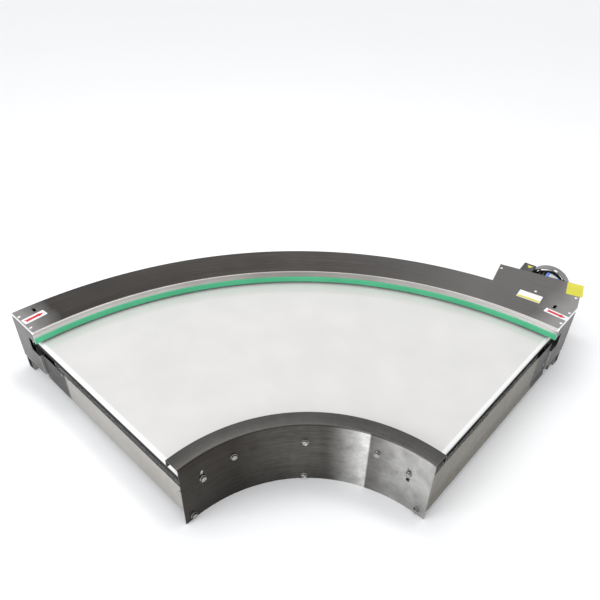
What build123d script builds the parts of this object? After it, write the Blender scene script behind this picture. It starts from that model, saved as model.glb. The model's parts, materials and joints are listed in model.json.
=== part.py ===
from build123d import *
import math
import os

os.makedirs("parts", exist_ok=True)

# Sizes are in millimetres and degrees. Heights count from the floor and radii from the centre of the turn.
# Azimuths count from +Y towards +X. "Out" is a distance past the radial line that ends the turn.
INFEED = -1
DISCHARGE = 1

# The turn
turn_angle = 90.0
outer_radius = 1200.0
cover_height = 200.0
end_straight = 19.0
sheet = 2.0
seat_gap = 0.2
running_gap = 0.3

# Drive channel along the outside of the turn
cover_width = 140.0
cover_bend = 9.0
cover_overhang = 3.0
cover_lip_depth = 35.0
channel_bottom = 44.0
lower_wall_top = 117.0
wall_flange = 20.0
cover_slot_azimuth = 43.15
cover_slot_inset = 30.0
cover_slot_length = 22.0
cover_slot_width = 9.0

# Edge strip clipped on the cover's lip
strip_height = 18.5
strip_proud = 2.5
strip_below_lip = 2.0
strip_hook_thickness = 2.0
strip_hook_height = 6.0

# Extension of the channel round the drive
extension_azimuth = 31.0
extension_length = 158.0
extension_width = 268.0
motor_opening_right = 35.0
motor_opening_left = 232.0
side_screw_inset = 12.0
left_screw_along = 130.0
right_screw_along = 68.0

# End plates of the channel
end_plate_notch_depth = 43.0
end_plate_corner = 5.0
end_flange_depth = 24.0
end_flange_inset = 13.0
end_flange_gap = 1.0
end_screw_out = 9.0
end_screws_past_lip = (32.0, 105.0)
cover_screw_hole = 5.5
screw_head_diameter = 9.5
screw_head_height = 2.8
screw_shank = 5.0
screw_length = 8.0

# Inner guard
guard_radius = 384.0
guard_drop = 1.0
guard_flange = 46.0
guard_lip = 25.0
guard_bend = 4.0
guard_slot_azimuth = 38.9
guard_slot_height = 121.0
guard_slot_length = 52.0
guard_slot_width = 9.0
guard_bolt_hole = 9.0
lower_bolt_azimuth = 44.4
lower_bolt_height = 14.0

# Belt and noses
belt_top = 156.0
belt_thickness = 2.2
belt_inner_clearance = 10.0
belt_under_cover = 40.0
bead_width = 8.0
bead_height = 6.0
nose_radius = 16.0
infeed_nose_inset = 7.0
discharge_nose_inset = 13.0
roller_count = 5
roller_spacing = 1.0
roller_end_margin = 2.0
nose_shaft_diameter = 12.0
shaft_fit = 0.05
shaft_end_gap = 1.0

# Blocks that hold the nose shafts
inner_block_thickness = 8.0
inner_block_below = 35.0
inner_block_above = 10.0
inner_block_behind = 2.2
inner_block_ahead = 5.0
outer_block_thickness = 12.0
outer_block_gap = 2.0
outer_block_behind = 24.0
outer_block_ahead = 16.0

# Slider bed, cross members and bars for the return run
bed_thickness = 2.5
bed_end_gap = 38.0
cross_member_azimuth = 26.5
cross_member_width = 30.0
cross_member_wall = 2.5
cross_member_end = 5.0
cross_member_gap = 2.8
return_bar_azimuths = (-33.0, -13.0, 13.0, 33.0)
return_bar_width = 20.0
return_bar_height = 25.0
return_bar_round = 4.0

# Guides of the bead
shelf_past_lip = 6.0
shelf_bead_gap = 6.0
shelf_flange = 18.0
rail_width = 12.0
rail_belt_gap = 0.4
rail_end_gap = 26.0
drive_gap_start = 36.0
drive_gap_end = 42.5
rail_gap_half = 3.0

# Cross plates below the noses
infeed_plate_out = 10.0
infeed_plate_low = 28.0
infeed_plate_high = 123.0
discharge_plate_out = 12.0
discharge_plate_low = 50.0
discharge_plate_high = 148.0
discharge_kick_out = 5.0
discharge_kick_low = 26.0
plate_tab = 24.0
plate_tab_low = 4.0

# Middle beam and stand brackets
beam_width = 40.0
beam_floor_gap = 2.0
beam_wall = 2.5
bracket_inset = 9.0
bracket_width = 32.0
bracket_wall = 3.0
bracket_length = 60.0
bracket_azimuth = 15.0
anchor_hole = 11.0
buffer_diameter = 22.0
buffer_length = 24.0
buffer_past_lip = 38.0

# Drive
drive_azimuth = 39.25
drive_wheel_diameter = 68.0
drive_tyre_thickness = 6.0
drive_wheel_width = 24.0
drive_shaft_diameter = 20.0
drive_shaft_nose = 2.0
shaft_chamfer = 1.5
hub_rim = 5.0
gearbox_offset = 30.0
gearbox_belt_gap = 12.0
gearbox_output_radius = 33.0
gearbox_input_radius = 43.0
gearbox_round = 5.0
bearing_groove_radius = 23.0
bearing_groove_width = 3.0
mount_plate_beyond = 8.0
mount_plate_thickness = 6.0
mount_plate_width = 160.0
mount_plate_flange = 20.0

# Pressure roller above the drive wheel
pressure_roller_length = 24.0
pressure_axle_diameter = 8.0
pressure_bracket_gap = 12.0
pressure_bracket_thickness = 4.0
pressure_bracket_width = 26.0
pressure_bracket_foot = 24.0
pressure_roller_top_gap = 1.3

# Motor
motor_flange_diameter = 140.0
motor_flange_thickness = 8.0
motor_core_diameter = 112.0
motor_length = 176.0
fin_count = 28
fin_thickness = 2.4
fin_height = 10.0
fin_margin = 8.0
fan_cover_diameter = 148.0
fan_cover_depth = 42.0
fan_cover_overlap = 6.0
fan_cover_wall = 1.6
fan_cover_round = 9.0
grille_ring_pitch = 13.0
grille_slot_width = 7.0
grille_spoke_width = 5.0
grille_spoke_count = 4
fan_diameter = 124.0
fan_hub_diameter = 36.0
fan_blade_count = 7
fan_blade_thickness = 2.0
fan_depth = 20.0
fan_side_gap = 6.0
motor_shaft_diameter = 14.0
motor_shaft_seat = 20.0
terminal_box_length = 74.0
terminal_box_height = 72.0
terminal_box_rise = 38.0
terminal_box_start = 48.0
terminal_box_depth = 32.0
terminal_box_back = 8.0
terminal_lid_thickness = 8.0
terminal_lid_overlap = 1.0
terminal_round = 5.0
gland_diameter = 18.0
gland_inset = 11.0
gland_rise = 12.0
gland_length = 22.0
gland_bore = 10.0
gland_hexagon = 18.0
gland_chamfer = 2.0

# Bolts
bolt_diameter = 8.0
bolt_head_width = 13.0
bolt_head_height = 5.3
washer_diameter = 17.0
washer_thickness = 1.6
bolt_clearance = 0.2

# Worked out from the sizes above
half_turn = turn_angle / 2
lip_radius = outer_radius - cover_width
belt_outer_radius = lip_radius + belt_under_cover
cover_slot_radius = outer_radius - cover_slot_inset
end_screw_radii = [lip_radius + past_lip for past_lip in end_screws_past_lip]
shelf_inner_radius = lip_radius + shelf_past_lip
buffer_radius = lip_radius + buffer_past_lip
gearbox_front_radius = belt_outer_radius + gearbox_belt_gap
mount_plate_radius = outer_radius + mount_plate_beyond
wall_outer_radius = outer_radius - cover_overhang
bracket_inner_radius = wall_outer_radius - bracket_inset - bracket_width
wall_inner_radius = wall_outer_radius - sheet
cover_under = cover_height - sheet
lip_low = cover_height - cover_lip_depth
tray_floor = channel_bottom + sheet
guard_outer_face = guard_radius + sheet
guard_seat = guard_outer_face + seat_gap
guard_top = cover_height - guard_drop
belt_inner_radius = guard_outer_face + belt_inner_clearance
nose_height = belt_top - nose_radius
wrap_inner_radius = nose_radius - belt_thickness
roller_radius = wrap_inner_radius - running_gap
top_run_under = belt_top - belt_thickness
return_bottom = nose_height - nose_radius
bend_inset = cover_bend / 3
return_top = return_bottom + belt_thickness
bead_inner_radius = belt_outer_radius - bead_width
upper_shelf_low = belt_top + bead_height + shelf_bead_gap
lower_shelf_high = return_bottom - bead_height - shelf_bead_gap
inner_end_out = end_straight - sheet
cross_member_high = top_run_under - running_gap - bed_thickness
cross_member_low = return_top + cross_member_gap
upper_bolt_height = (cross_member_high + cross_member_low) / 2
drive_height = return_bottom - running_gap - drive_wheel_diameter / 2
motor_height = drive_height + gearbox_offset
drive_wheel_outer = bead_inner_radius - outer_block_gap
drive_wheel_inner = drive_wheel_outer - drive_wheel_width
pressure_roller_radius = (top_run_under - pressure_roller_top_gap - return_top - running_gap) / 2
pressure_height = return_top + running_gap + pressure_roller_radius
mount_plate_back = mount_plate_radius + mount_plate_thickness
motor_start = mount_plate_back + motor_flange_thickness
motor_end = motor_start + motor_length
fan_cover_start = motor_end - fan_cover_overlap
fan_cover_end = fan_cover_start + fan_cover_depth
nose_inset = {INFEED: infeed_nose_inset, DISCHARGE: discharge_nose_inset}


def direction(azimuth):
    """Unit vector that points away from the centre of the turn."""
    angle = math.radians(azimuth)
    return Vector(math.sin(angle), math.cos(angle), 0)


def tangent(azimuth):
    """Unit vector along the turn, from the infeed towards the discharge."""
    angle = math.radians(azimuth)
    return Vector(math.cos(angle), -math.sin(angle), 0)


def place(azimuth, radius, height=0.0):
    return direction(azimuth) * radius + Vector(0, 0, height)


def end_point(side, radius, out, height=0.0):
    """Point beside an end's radial line, a distance out past it."""
    return place(side * half_turn, radius, height) + tangent(side * half_turn) * side * out


def station(azimuth):
    """Upright plane through the centre of the turn: x is the radius and y the height."""
    return Plane(origin=(0, 0, 0), x_dir=direction(azimuth), z_dir=tangent(azimuth))


def end_plane(side, out):
    """Upright plane of an end, a distance out past its radial line."""
    return Plane(
        origin=end_point(side, 0, out),
        x_dir=direction(side * half_turn),
        z_dir=tangent(side * half_turn),
    )


def radial_frame(azimuth, radius, height):
    """Frame whose z points away from the centre of the turn and whose y points up."""
    return Plane(
        origin=place(azimuth, radius, height),
        x_dir=tangent(azimuth) * -1,
        z_dir=direction(azimuth),
    )


def nose_frame(side, radius):
    """Frame on a nose axis, whose z points along it to the outside of the turn."""
    return Plane(
        origin=end_point(side, radius, -nose_inset[side], nose_height),
        x_dir=tangent(side * half_turn),
        z_dir=direction(side * half_turn),
    )


def extension_corner():
    return end_point(DISCHARGE, outer_radius, end_straight)


def extension_frame(height):
    """Frame on the extension's inner right corner: x points outwards and y to its left side."""
    corner = extension_corner()
    return Plane(
        origin=(corner.X, corner.Y, height),
        x_dir=direction(extension_azimuth),
        z_dir=(0, 0, 1),
    )


def on_extension(along, across):
    """Point on the floor under a place of the extension."""
    return extension_frame(0).from_local_coords(Vector(along, across, 0))


def extension_meets_radius(across, radius):
    """How far out the extension's line at a distance across reaches a radius about the turn."""
    start = on_extension(0, across)
    along = start.dot(direction(extension_azimuth))
    return -along + math.sqrt(along**2 - start.length**2 + radius**2)


def azimuth_of(point):
    return math.degrees(math.atan2(point.X, point.Y))


def radius_along(radius, out):
    """Distance along an end line at which it meets a circle about the centre of the turn."""
    return math.sqrt(radius**2 - out**2)


def block(low_radius, high_radius, low, high):
    """Rectangle in a station plane."""
    middle = Pos((low_radius + high_radius) / 2, (low + high) / 2)
    return middle * Rectangle(high_radius - low_radius, high - low)


def folded(*points):
    """Section of a folded sheet whose middle line runs through the points."""
    return trace(Polyline(*points), line_width=sheet)


def small_round(diameter):
    """Twelve-sided outline of a bolt, washer or bolt hole, as wide over its corners as the circle."""
    return RegularPolygon(diameter / 2, 12)


def swept(section, start=-half_turn, end=half_turn, before=0.0, after=0.0):
    """Section carried round the turn, with a straight run before and after it."""
    solid = revolve(station(end) * section, axis=Axis.Z, revolution_arc=end - start)
    if after:
        solid += extrude(station(end) * section, amount=after)
    if before:
        solid += extrude(station(start) * section, amount=-before)
    return solid


def sector(inner, outer, low, high, infeed_out, discharge_out):
    """Flat ring piece between two lines that lie a distance out past the ends of the turn."""
    near = inner / 4
    far = outer * 2
    corners = [
        end_point(INFEED, near, infeed_out),
        end_point(INFEED, far, infeed_out),
        Vector(0, far * 2, 0),
        end_point(DISCHARGE, far, discharge_out),
        end_point(DISCHARGE, near, discharge_out),
    ]
    window = make_face(Polyline(*[(corner.X, corner.Y) for corner in corners], close=True))
    ring = Circle(outer) - Circle(inner)
    return extrude(Pos(0, 0, low) * (ring & window), amount=high - low)


def tube_wall(width, height, wall):
    return Rectangle(width, height) - Rectangle(width - 2 * wall, height - 2 * wall)


def drilled(solid, azimuth, height, diameter, radius, depth):
    """Solid with a radial hole that starts at a radius and runs outwards."""
    hole = extrude(radial_frame(azimuth, radius, height) * small_round(diameter), amount=depth)
    return solid - hole


def inner_guard():
    """Upright web inside the turn with a flange over the belt's edge and a lip turned down."""
    middle = sheet / 2
    lip = guard_radius + guard_flange - middle
    section = folded(
        (guard_radius + middle, 0),
        (guard_radius + middle, guard_top - guard_bend),
        (guard_radius + guard_bend, guard_top - middle),
        (lip + middle - guard_bend, guard_top - middle),
        (lip, guard_top - guard_bend),
        (lip, guard_top - guard_lip),
    )
    guard = swept(section, before=end_straight, after=end_straight)
    start = guard_radius - sheet
    depth = 3 * sheet
    for azimuth in (-cross_member_azimuth, 0, cross_member_azimuth):
        guard = drilled(guard, azimuth, upper_bolt_height, guard_bolt_hole, start, depth)
    for azimuth in (-lower_bolt_azimuth, 0, lower_bolt_azimuth):
        guard = drilled(guard, azimuth, lower_bolt_height, guard_bolt_hole, start, depth)
    for azimuth in (-guard_slot_azimuth, guard_slot_azimuth):
        slot = SlotOverall(guard_slot_length, guard_slot_width, rotation=90)
        guard -= extrude(radial_frame(azimuth, start, guard_slot_height) * slot, amount=depth)
    return guard


def cover_screw_places():
    """Where the cover's screws stand, on the ends and on the extension's flanges."""
    places = []
    for side in (INFEED, DISCHARGE):
        for radius in end_screw_radii:
            places.append(end_point(side, radius, end_screw_out))
    places.append(on_extension(left_screw_along, extension_width - side_screw_inset))
    places.append(on_extension(right_screw_along, side_screw_inset))
    places.append(place(drive_azimuth, mount_plate_back + mount_plate_flange / 2 - sheet))
    return places


def cover_hole(spot):
    """Upright hole for a cover screw."""
    return extrude(Pos(spot.X, spot.Y, cover_under - 2 * sheet) * small_round(cover_screw_hole), amount=4 * sheet)


def top_cover():
    """Cover of the channel with its rounded inner edge, turned-down lip and extension plate."""
    middle = sheet / 2
    section = folded(
        (outer_radius, cover_height - middle),
        (lip_radius + cover_bend, cover_height - middle),
        (lip_radius + bend_inset, cover_height - bend_inset),
        (lip_radius + middle, cover_height - cover_bend),
        (lip_radius + middle, lip_low),
    )
    cover = swept(section, before=end_straight, after=end_straight)
    plate = Pos(extension_length / 2, extension_width / 2) * Rectangle(extension_length, extension_width)
    cover += extrude(extension_frame(cover_under) * plate, amount=sheet)
    for place_on_cover in cover_screw_places():
        cover -= cover_hole(place_on_cover)
    for azimuth in (-cover_slot_azimuth, cover_slot_azimuth):
        centre = place(azimuth, cover_slot_radius, cover_under - sheet)
        slot = SlotOverall(cover_slot_length, cover_slot_width)
        frame = Plane(origin=centre, x_dir=direction(azimuth), z_dir=(0, 0, 1))
        cover -= extrude(frame * slot, amount=3 * sheet)
    return cover


def green_edge_strip():
    """Clip-on strip round the lower edge of the cover's lip."""
    high = lip_low - strip_below_lip + strip_height
    low = lip_low - strip_below_lip
    back = lip_radius + sheet
    front = block(lip_radius - strip_proud, lip_radius, low, high)
    foot = block(lip_radius - strip_proud, back, low, lip_low)
    hook = block(back, back + strip_hook_thickness, low, low + strip_hook_height)
    strip = swept(front + foot, before=end_straight, after=end_straight)
    return strip + swept(hook, before=inner_end_out, after=inner_end_out)


def outer_wall():
    """Outer wall of the channel with a flange below the cover, up to the extension."""
    middle = sheet / 2
    section = folded(
        (wall_outer_radius - middle, tray_floor),
        (wall_outer_radius - middle, cover_under - middle),
        (wall_outer_radius - wall_flange, cover_under - middle),
    )
    left = extension_width - cover_overhang - sheet
    reach = extension_meets_radius(left, wall_outer_radius)
    stop = azimuth_of(on_extension(reach, left))
    return swept(section, end=stop, before=end_straight)


def lower_tray():
    """Bottom of the channel and of its extension, with the lower inner wall."""
    bottom = block(lip_radius, wall_outer_radius, channel_bottom, tray_floor)
    wall = block(lip_radius, lip_radius + sheet, channel_bottom, lower_wall_top)
    tray = swept(bottom + wall, before=end_straight, after=end_straight)
    inset = cover_overhang
    length = extension_length - inset
    width = extension_width - 2 * inset
    plate = Pos(length / 2, extension_width / 2) * Rectangle(length, width)
    tray += extrude(extension_frame(channel_bottom) * plate, amount=sheet)
    return tray


def extension_walls():
    """The extension's left and right walls, each with its part of the rear wall and a top flange."""
    far = extension_length - cover_overhang
    near_side = cover_overhang
    far_side = extension_width - cover_overhang
    left_start = extension_meets_radius(far_side - sheet, wall_outer_radius) + seat_gap

    def bar(x0, x1, y0, y1, low, high):
        shape = Pos((x0 + x1) / 2, (y0 + y1) / 2) * Rectangle(x1 - x0, y1 - y0)
        return extrude(extension_frame(low) * shape, amount=high - low)

    top = cover_under
    right = bar(-sheet, far, near_side, near_side + sheet, tray_floor, top)
    right += bar(far - sheet, far, near_side, motor_opening_right, tray_floor, top)
    right += bar(wall_flange, far, near_side, near_side + wall_flange, top - sheet, top)
    left = bar(left_start, far, far_side - sheet, far_side, tray_floor, top)
    left += bar(far - sheet, far, motor_opening_left, far_side, tray_floor, top)
    left += bar(left_start + wall_flange, far, far_side - wall_flange, far_side, top - sheet, top)
    walls = [right, left]
    for spot in cover_screw_places():
        walls = [wall - cover_hole(spot) for wall in walls]
    return walls


def end_plate(side):
    """Plate that closes an end of the channel round the belt's notch, with a flange for the cover."""
    inner = lip_radius + sheet
    outer = wall_inner_radius
    notch = lip_radius + sheet + end_plate_notch_depth
    flange_outer = wall_outer_radius - wall_flange - end_flange_gap
    outline = Polyline(
        (inner, tray_floor),
        (outer, tray_floor),
        (outer, cover_under - sheet),
        (flange_outer, cover_under - sheet),
        (flange_outer, cover_under),
        (inner + cover_bend, cover_under),
        (inner, cover_under - cover_bend),
        (inner, lip_low),
        (notch, lip_low),
        (notch, lower_wall_top),
        (inner, lower_wall_top),
        close=True,
    )
    face = make_face(outline)
    corners = [vertex for vertex in face.vertices() if abs(vertex.X - notch) < sheet]
    face = fillet(corners, radius=end_plate_corner)
    plate = extrude(end_plane(side, inner_end_out) * face, amount=side * sheet)
    flange = block(inner + end_flange_inset, flange_outer, cover_under - sheet, cover_under)
    plate += extrude(end_plane(side, inner_end_out) * flange, amount=-side * end_flange_depth)
    for radius in end_screw_radii:
        plate -= cover_hole(end_point(side, radius, end_screw_out))
    return plate


def cross_plate(side, out, low, high):
    """Upright plate below a nose with tabs on the guard and on the channel's lower wall."""
    inner = guard_seat
    outer = lip_radius - seat_gap
    plate = extrude(end_plane(side, out) * block(inner, outer, low, high), amount=side * sheet)
    tab_high = nose_height - inner_block_below - end_flange_gap
    tab = block(inner, inner + sheet, plate_tab_low, tab_high)
    tab = extrude(end_plane(side, out) * tab, amount=-side * plate_tab)
    foot_low = max(low, tray_floor)
    foot_high = min(high, lower_wall_top)
    foot = block(outer - sheet, outer, foot_low, foot_high)
    foot = extrude(end_plane(side, out) * foot, amount=-side * plate_tab)
    azimuth = side * lower_bolt_azimuth
    depth = 4 * sheet
    return drilled(plate + tab + foot, azimuth, lower_bolt_height, guard_bolt_hole, guard_radius, depth)


def infeed_cross_plate():
    return cross_plate(INFEED, infeed_plate_out, infeed_plate_low, infeed_plate_high)


def discharge_cross_plate():
    """Plate in front of the discharge nose, kicked outwards along its lower edge."""
    plate = cross_plate(DISCHARGE, discharge_plate_out, discharge_plate_low, discharge_plate_high)
    kick = Polyline(
        (discharge_plate_out, discharge_plate_low),
        (discharge_plate_out + sheet, discharge_plate_low),
        (discharge_plate_out + discharge_kick_out + sheet, discharge_kick_low),
        (discharge_plate_out + discharge_kick_out, discharge_kick_low),
        close=True,
    )
    frame = Plane(
        origin=place(half_turn, guard_seat),
        x_dir=tangent(half_turn),
        z_dir=direction(half_turn) * -1,
    )
    length = lip_radius - seat_gap - guard_seat
    return plate + extrude(frame * make_face(kick), amount=-length)


def middle_cross_beam():
    """Channel bar near the floor that ties the guard to the outside of the turn."""
    high = channel_bottom
    outline = Rectangle(beam_width, high - beam_floor_gap)
    hollow = Pos(0, -beam_wall) * Rectangle(beam_width - 2 * beam_wall, high - beam_floor_gap)
    frame = radial_frame(0, guard_seat, (high + beam_floor_gap) / 2)
    length = wall_outer_radius - cover_overhang - guard_seat
    beam = extrude(frame * (outline - hollow), amount=length)
    beam += extrude(frame * outline, amount=beam_wall)
    return drilled(beam, 0, lower_bolt_height, guard_bolt_hole, guard_radius, 3 * beam_wall)


def slider_bed():
    """Flat bed under the carrying run, inside the belt's loop."""
    high = top_run_under - running_gap
    infeed_out = -infeed_nose_inset - bed_end_gap
    discharge_out = -discharge_nose_inset - bed_end_gap
    outer = drive_wheel_inner - outer_block_gap
    return sector(guard_seat, outer, high - bed_thickness, high, infeed_out, discharge_out)


def bed_cross_members():
    """Square tubes inside the loop that carry the bed and tie the guard to the outer wall."""
    members = []
    height = cross_member_high - cross_member_low
    length = wall_inner_radius - seat_gap - guard_seat
    for azimuth in (-cross_member_azimuth, 0, cross_member_azimuth):
        frame = radial_frame(azimuth, guard_seat, upper_bolt_height)
        member = extrude(frame * tube_wall(cross_member_width, height, cross_member_wall), amount=length)
        member += extrude(frame * Rectangle(cross_member_width, height), amount=cross_member_end)
        far = radial_frame(azimuth, guard_seat + length - cross_member_end, upper_bolt_height)
        member += extrude(far * Rectangle(cross_member_width, height), amount=cross_member_end)
        depth = cross_member_end + 2 * sheet
        member = drilled(member, azimuth, upper_bolt_height, bolt_diameter, guard_radius, depth)
        members.append(member)
    return members


def return_bars():
    """Round-topped bars that the return run slides over."""
    bars = []
    high = return_bottom - running_gap
    outline = Rectangle(return_bar_width, return_bar_height)
    outline = fillet(outline.vertices().group_by(Axis.Y)[-1], radius=return_bar_round)
    length = lip_radius - seat_gap - guard_seat
    for azimuth in return_bar_azimuths:
        frame = radial_frame(azimuth, guard_seat, high - return_bar_height / 2)
        bars.append(extrude(frame * outline, amount=length))
    return bars


def upper_guide_shelf():
    """Shelf over the belt's outer margin that carries the upper guide rail."""
    outer = wall_inner_radius - seat_gap
    shelf = block(shelf_inner_radius, outer, upper_shelf_low, upper_shelf_low + sheet)
    flange = block(outer - sheet, outer, upper_shelf_low, upper_shelf_low + shelf_flange)
    return swept(shelf + flange, before=inner_end_out, after=inner_end_out)


def lower_guide_shelf():
    """Shelf under the return run's outer margin, open for the drive wheel."""
    outer = wall_inner_radius - seat_gap
    shelf = block(shelf_inner_radius, outer, lower_shelf_high - sheet, lower_shelf_high)
    flange = block(outer - sheet, outer, lower_shelf_high - shelf_flange, lower_shelf_high)
    web_high = lower_shelf_high - sheet
    web = block(shelf_inner_radius, shelf_inner_radius + sheet, web_high - shelf_flange, web_high)
    section = shelf + flange + web
    main = swept(section, end=drive_gap_start, before=inner_end_out)
    short = swept(section, start=drive_gap_end, after=inner_end_out)
    return [main, short]


def rail_section(low, high):
    outer = bead_inner_radius - running_gap
    return block(outer - rail_width, outer, low, high)


def upper_guide_rail():
    """Plastic rail that holds the bead of the carrying run."""
    section = rail_section(belt_top + rail_belt_gap, upper_shelf_low)
    gap = math.degrees((rail_end_gap + nose_radius) / bead_inner_radius)
    return swept(section, start=-half_turn + gap, end=half_turn - gap)


def lower_guide_rail():
    """Plastic rail that holds the bead of the return run, open at the drive wheel."""
    section = rail_section(lower_shelf_high, return_bottom - rail_belt_gap)
    gap = math.degrees((rail_end_gap + nose_radius) / bead_inner_radius)
    return swept(section, start=-half_turn + gap, end=drive_gap_start - rail_gap_half)


def conveyor_belt():
    """Endless belt: two flat runs and a half round at each nose."""
    return loop(belt_inner_radius, wrap_inner_radius, nose_radius)


def belt_guide_bead():
    """Bead welded along the outer edge of the belt's carrying face."""
    return loop(bead_inner_radius, nose_radius, nose_radius + bead_height)


def loop(inner_radius, inside, outside):
    """Endless band round both noses, between two distances from the nose axes."""
    infeed_out = -infeed_nose_inset
    discharge_out = -discharge_nose_inset
    outer = belt_outer_radius
    upper = (nose_height + inside, nose_height + outside)
    lower = (nose_height - outside, nose_height - inside)
    band = sector(inner_radius, outer, *upper, infeed_out, discharge_out)
    band += sector(inner_radius, outer, *lower, infeed_out, discharge_out)
    for side in (INFEED, DISCHARGE):
        low = radius_along(inner_radius, nose_inset[side])
        high = radius_along(outer, nose_inset[side])
        band += half_ring(side, low, high, inside, outside)
    return band


def half_ring(side, start, end, inner, outer):
    """Half round of the belt about a nose axis."""
    ring = Circle(outer) - Circle(inner)
    half = ring & (Pos(side * outer, 0) * Rectangle(2 * outer, 2 * outer))
    return extrude(nose_frame(side, start) * half, amount=end - start)


def nose_shaft(side):
    """Fixed shaft through the nose rollers, from the guard's block to the channel's block."""
    start = guard_seat + shaft_end_gap
    end = belt_outer_radius + outer_block_gap + outer_block_thickness - shaft_end_gap
    return extrude(nose_frame(side, start) * Circle(nose_shaft_diameter / 2), amount=end - start)


def roller_length():
    run = belt_outer_radius - belt_inner_radius - 2 * roller_end_margin
    return (run - (roller_count - 1) * roller_spacing) / roller_count


def roller_start(index):
    return belt_inner_radius + roller_end_margin + index * (roller_length() + roller_spacing)


def nose_roller(side, index):
    """One free segment of a nose, bored to run on the shaft."""
    outline = Circle(roller_radius)
    roller = extrude(nose_frame(side, roller_start(index)) * outline, amount=roller_length())
    bore = Circle(nose_shaft_diameter / 2 + shaft_fit)
    return roller - extrude(nose_frame(side, roller_start(index)) * bore, amount=roller_length())


def inner_shaft_blocks():
    """Curved blocks behind the guard that hold the nose shafts and take the slot bolts."""
    low = nose_height - inner_block_below
    high = nose_height + inner_block_above
    section = block(guard_seat, guard_seat + inner_block_thickness, low, high)
    near = guard_slot_azimuth - inner_block_behind
    bodies = {
        INFEED: swept(section, end=-near, before=inner_block_ahead),
        DISCHARGE: swept(section, start=near, after=inner_block_ahead),
    }
    blocks = []
    depth = 2 * inner_block_thickness
    for side, body in bodies.items():
        hole = Circle(nose_shaft_diameter / 2 + shaft_fit)
        body -= extrude(nose_frame(side, guard_radius) * hole, amount=depth)
        azimuth = side * guard_slot_azimuth
        blocks.append(drilled(body, azimuth, guard_slot_height, bolt_diameter, guard_radius, depth))
    return blocks


def outer_shaft_blocks():
    """Blocks between the guide shelves that hold the outer ends of the nose shafts."""
    blocks = []
    for side in (INFEED, DISCHARGE):
        start = -nose_inset[side] - outer_block_behind
        length = outer_block_behind + outer_block_ahead
        inner = belt_outer_radius + outer_block_gap
        outline = block(inner, inner + outer_block_thickness, lower_shelf_high, upper_shelf_low)
        body = extrude(end_plane(side, start) * outline, amount=side * length)
        hole = Circle(nose_shaft_diameter / 2 + shaft_fit)
        body -= extrude(nose_frame(side, inner) * hole, amount=outer_block_thickness)
        blocks.append(body)
    return blocks


def stand_brackets():
    """Box sections below the channel, at both ends and on each side of the middle."""
    brackets = []
    centre_radius = bracket_inner_radius + bracket_width / 2
    outline = Pos(centre_radius, channel_bottom / 2) * tube_wall(bracket_width, channel_bottom, bracket_wall)
    for side in (INFEED, DISCHARGE):
        brackets.append(extrude(end_plane(side, end_straight) * outline, amount=-side * bracket_length))
    for side in (INFEED, DISCHARGE):
        solid = extrude(station(side * bracket_azimuth) * outline, amount=bracket_length / 2, both=True)
        brackets.append(solid)
    hole = Cylinder(anchor_hole / 2, 4 * bracket_wall)
    pairs = zip(brackets, anchor_places())
    return [bracket - Pos(centre.X, centre.Y, 0) * hole for bracket, centre in pairs]


def anchor_places():
    """Centres of the holes that fix the stand brackets to a frame below."""
    centre_radius = bracket_inner_radius + bracket_width / 2
    out = end_straight - bracket_length / 2
    at_ends = [end_point(side, centre_radius, out) for side in (INFEED, DISCHARGE)]
    beside_middle = [place(side * bracket_azimuth, centre_radius) for side in (INFEED, DISCHARGE)]
    return at_ends + beside_middle


def discharge_buffer():
    """Round rubber buffer below the discharge end of the channel."""
    frame = end_plane(DISCHARGE, end_straight) * Pos(buffer_radius, channel_bottom - buffer_diameter / 2)
    return extrude(frame * Circle(buffer_diameter / 2), amount=-buffer_length)


def drive_frame(radius, height):
    return radial_frame(drive_azimuth, radius, height)


def drive_shaft():
    start = drive_wheel_inner - drive_shaft_nose
    shaft = extrude(drive_frame(start, drive_height) * Circle(drive_shaft_diameter / 2),
                    amount=gearbox_front_radius - running_gap - start)
    return chamfer(shaft.faces().sort_by(Axis.Y)[0].edges(), length=shaft_chamfer)


def drive_wheel_hub():
    """Hub of the drive wheel, turned thinner between its rim and its boss."""
    outer = drive_wheel_diameter / 2 - drive_tyre_thickness
    hub = extrude(drive_frame(drive_wheel_inner, drive_height) * Circle(outer), amount=drive_wheel_width)
    recess = Circle(outer - hub_rim) - Circle(drive_shaft_diameter / 2 + hub_rim)
    depth = drive_wheel_width / 3
    hub -= extrude(drive_frame(drive_wheel_inner, drive_height) * recess, amount=depth)
    hub -= extrude(drive_frame(drive_wheel_outer - depth, drive_height) * recess, amount=depth)
    bore = Circle(drive_shaft_diameter / 2)
    return hub - extrude(drive_frame(drive_wheel_inner, drive_height) * bore, amount=drive_wheel_width)


def drive_wheel_tyre():
    """Soft tyre with bevelled shoulders."""
    outer = drive_wheel_diameter / 2
    ring = extrude(drive_frame(drive_wheel_inner, drive_height) * Circle(outer), amount=drive_wheel_width)
    ring = chamfer(ring.edges().filter_by(GeomType.CIRCLE), length=drive_tyre_thickness / 4)
    bore = Circle(outer - drive_tyre_thickness)
    return ring - extrude(drive_frame(drive_wheel_inner, drive_height) * bore, amount=drive_wheel_width)


def pressure_roller():
    start = drive_wheel_inner
    roller = extrude(drive_frame(start, pressure_height) * Circle(pressure_roller_radius),
                     amount=pressure_roller_length)
    bore = Circle(pressure_axle_diameter / 2 + shaft_fit)
    return roller - extrude(drive_frame(start, pressure_height) * bore, amount=pressure_roller_length)


def pressure_axle():
    start = drive_wheel_inner - drive_shaft_nose
    end = drive_wheel_outer + pressure_bracket_gap + pressure_bracket_thickness + drive_shaft_nose
    outline = Circle(pressure_axle_diameter / 2)
    return extrude(drive_frame(start, pressure_height) * outline, amount=end - start)


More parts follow.
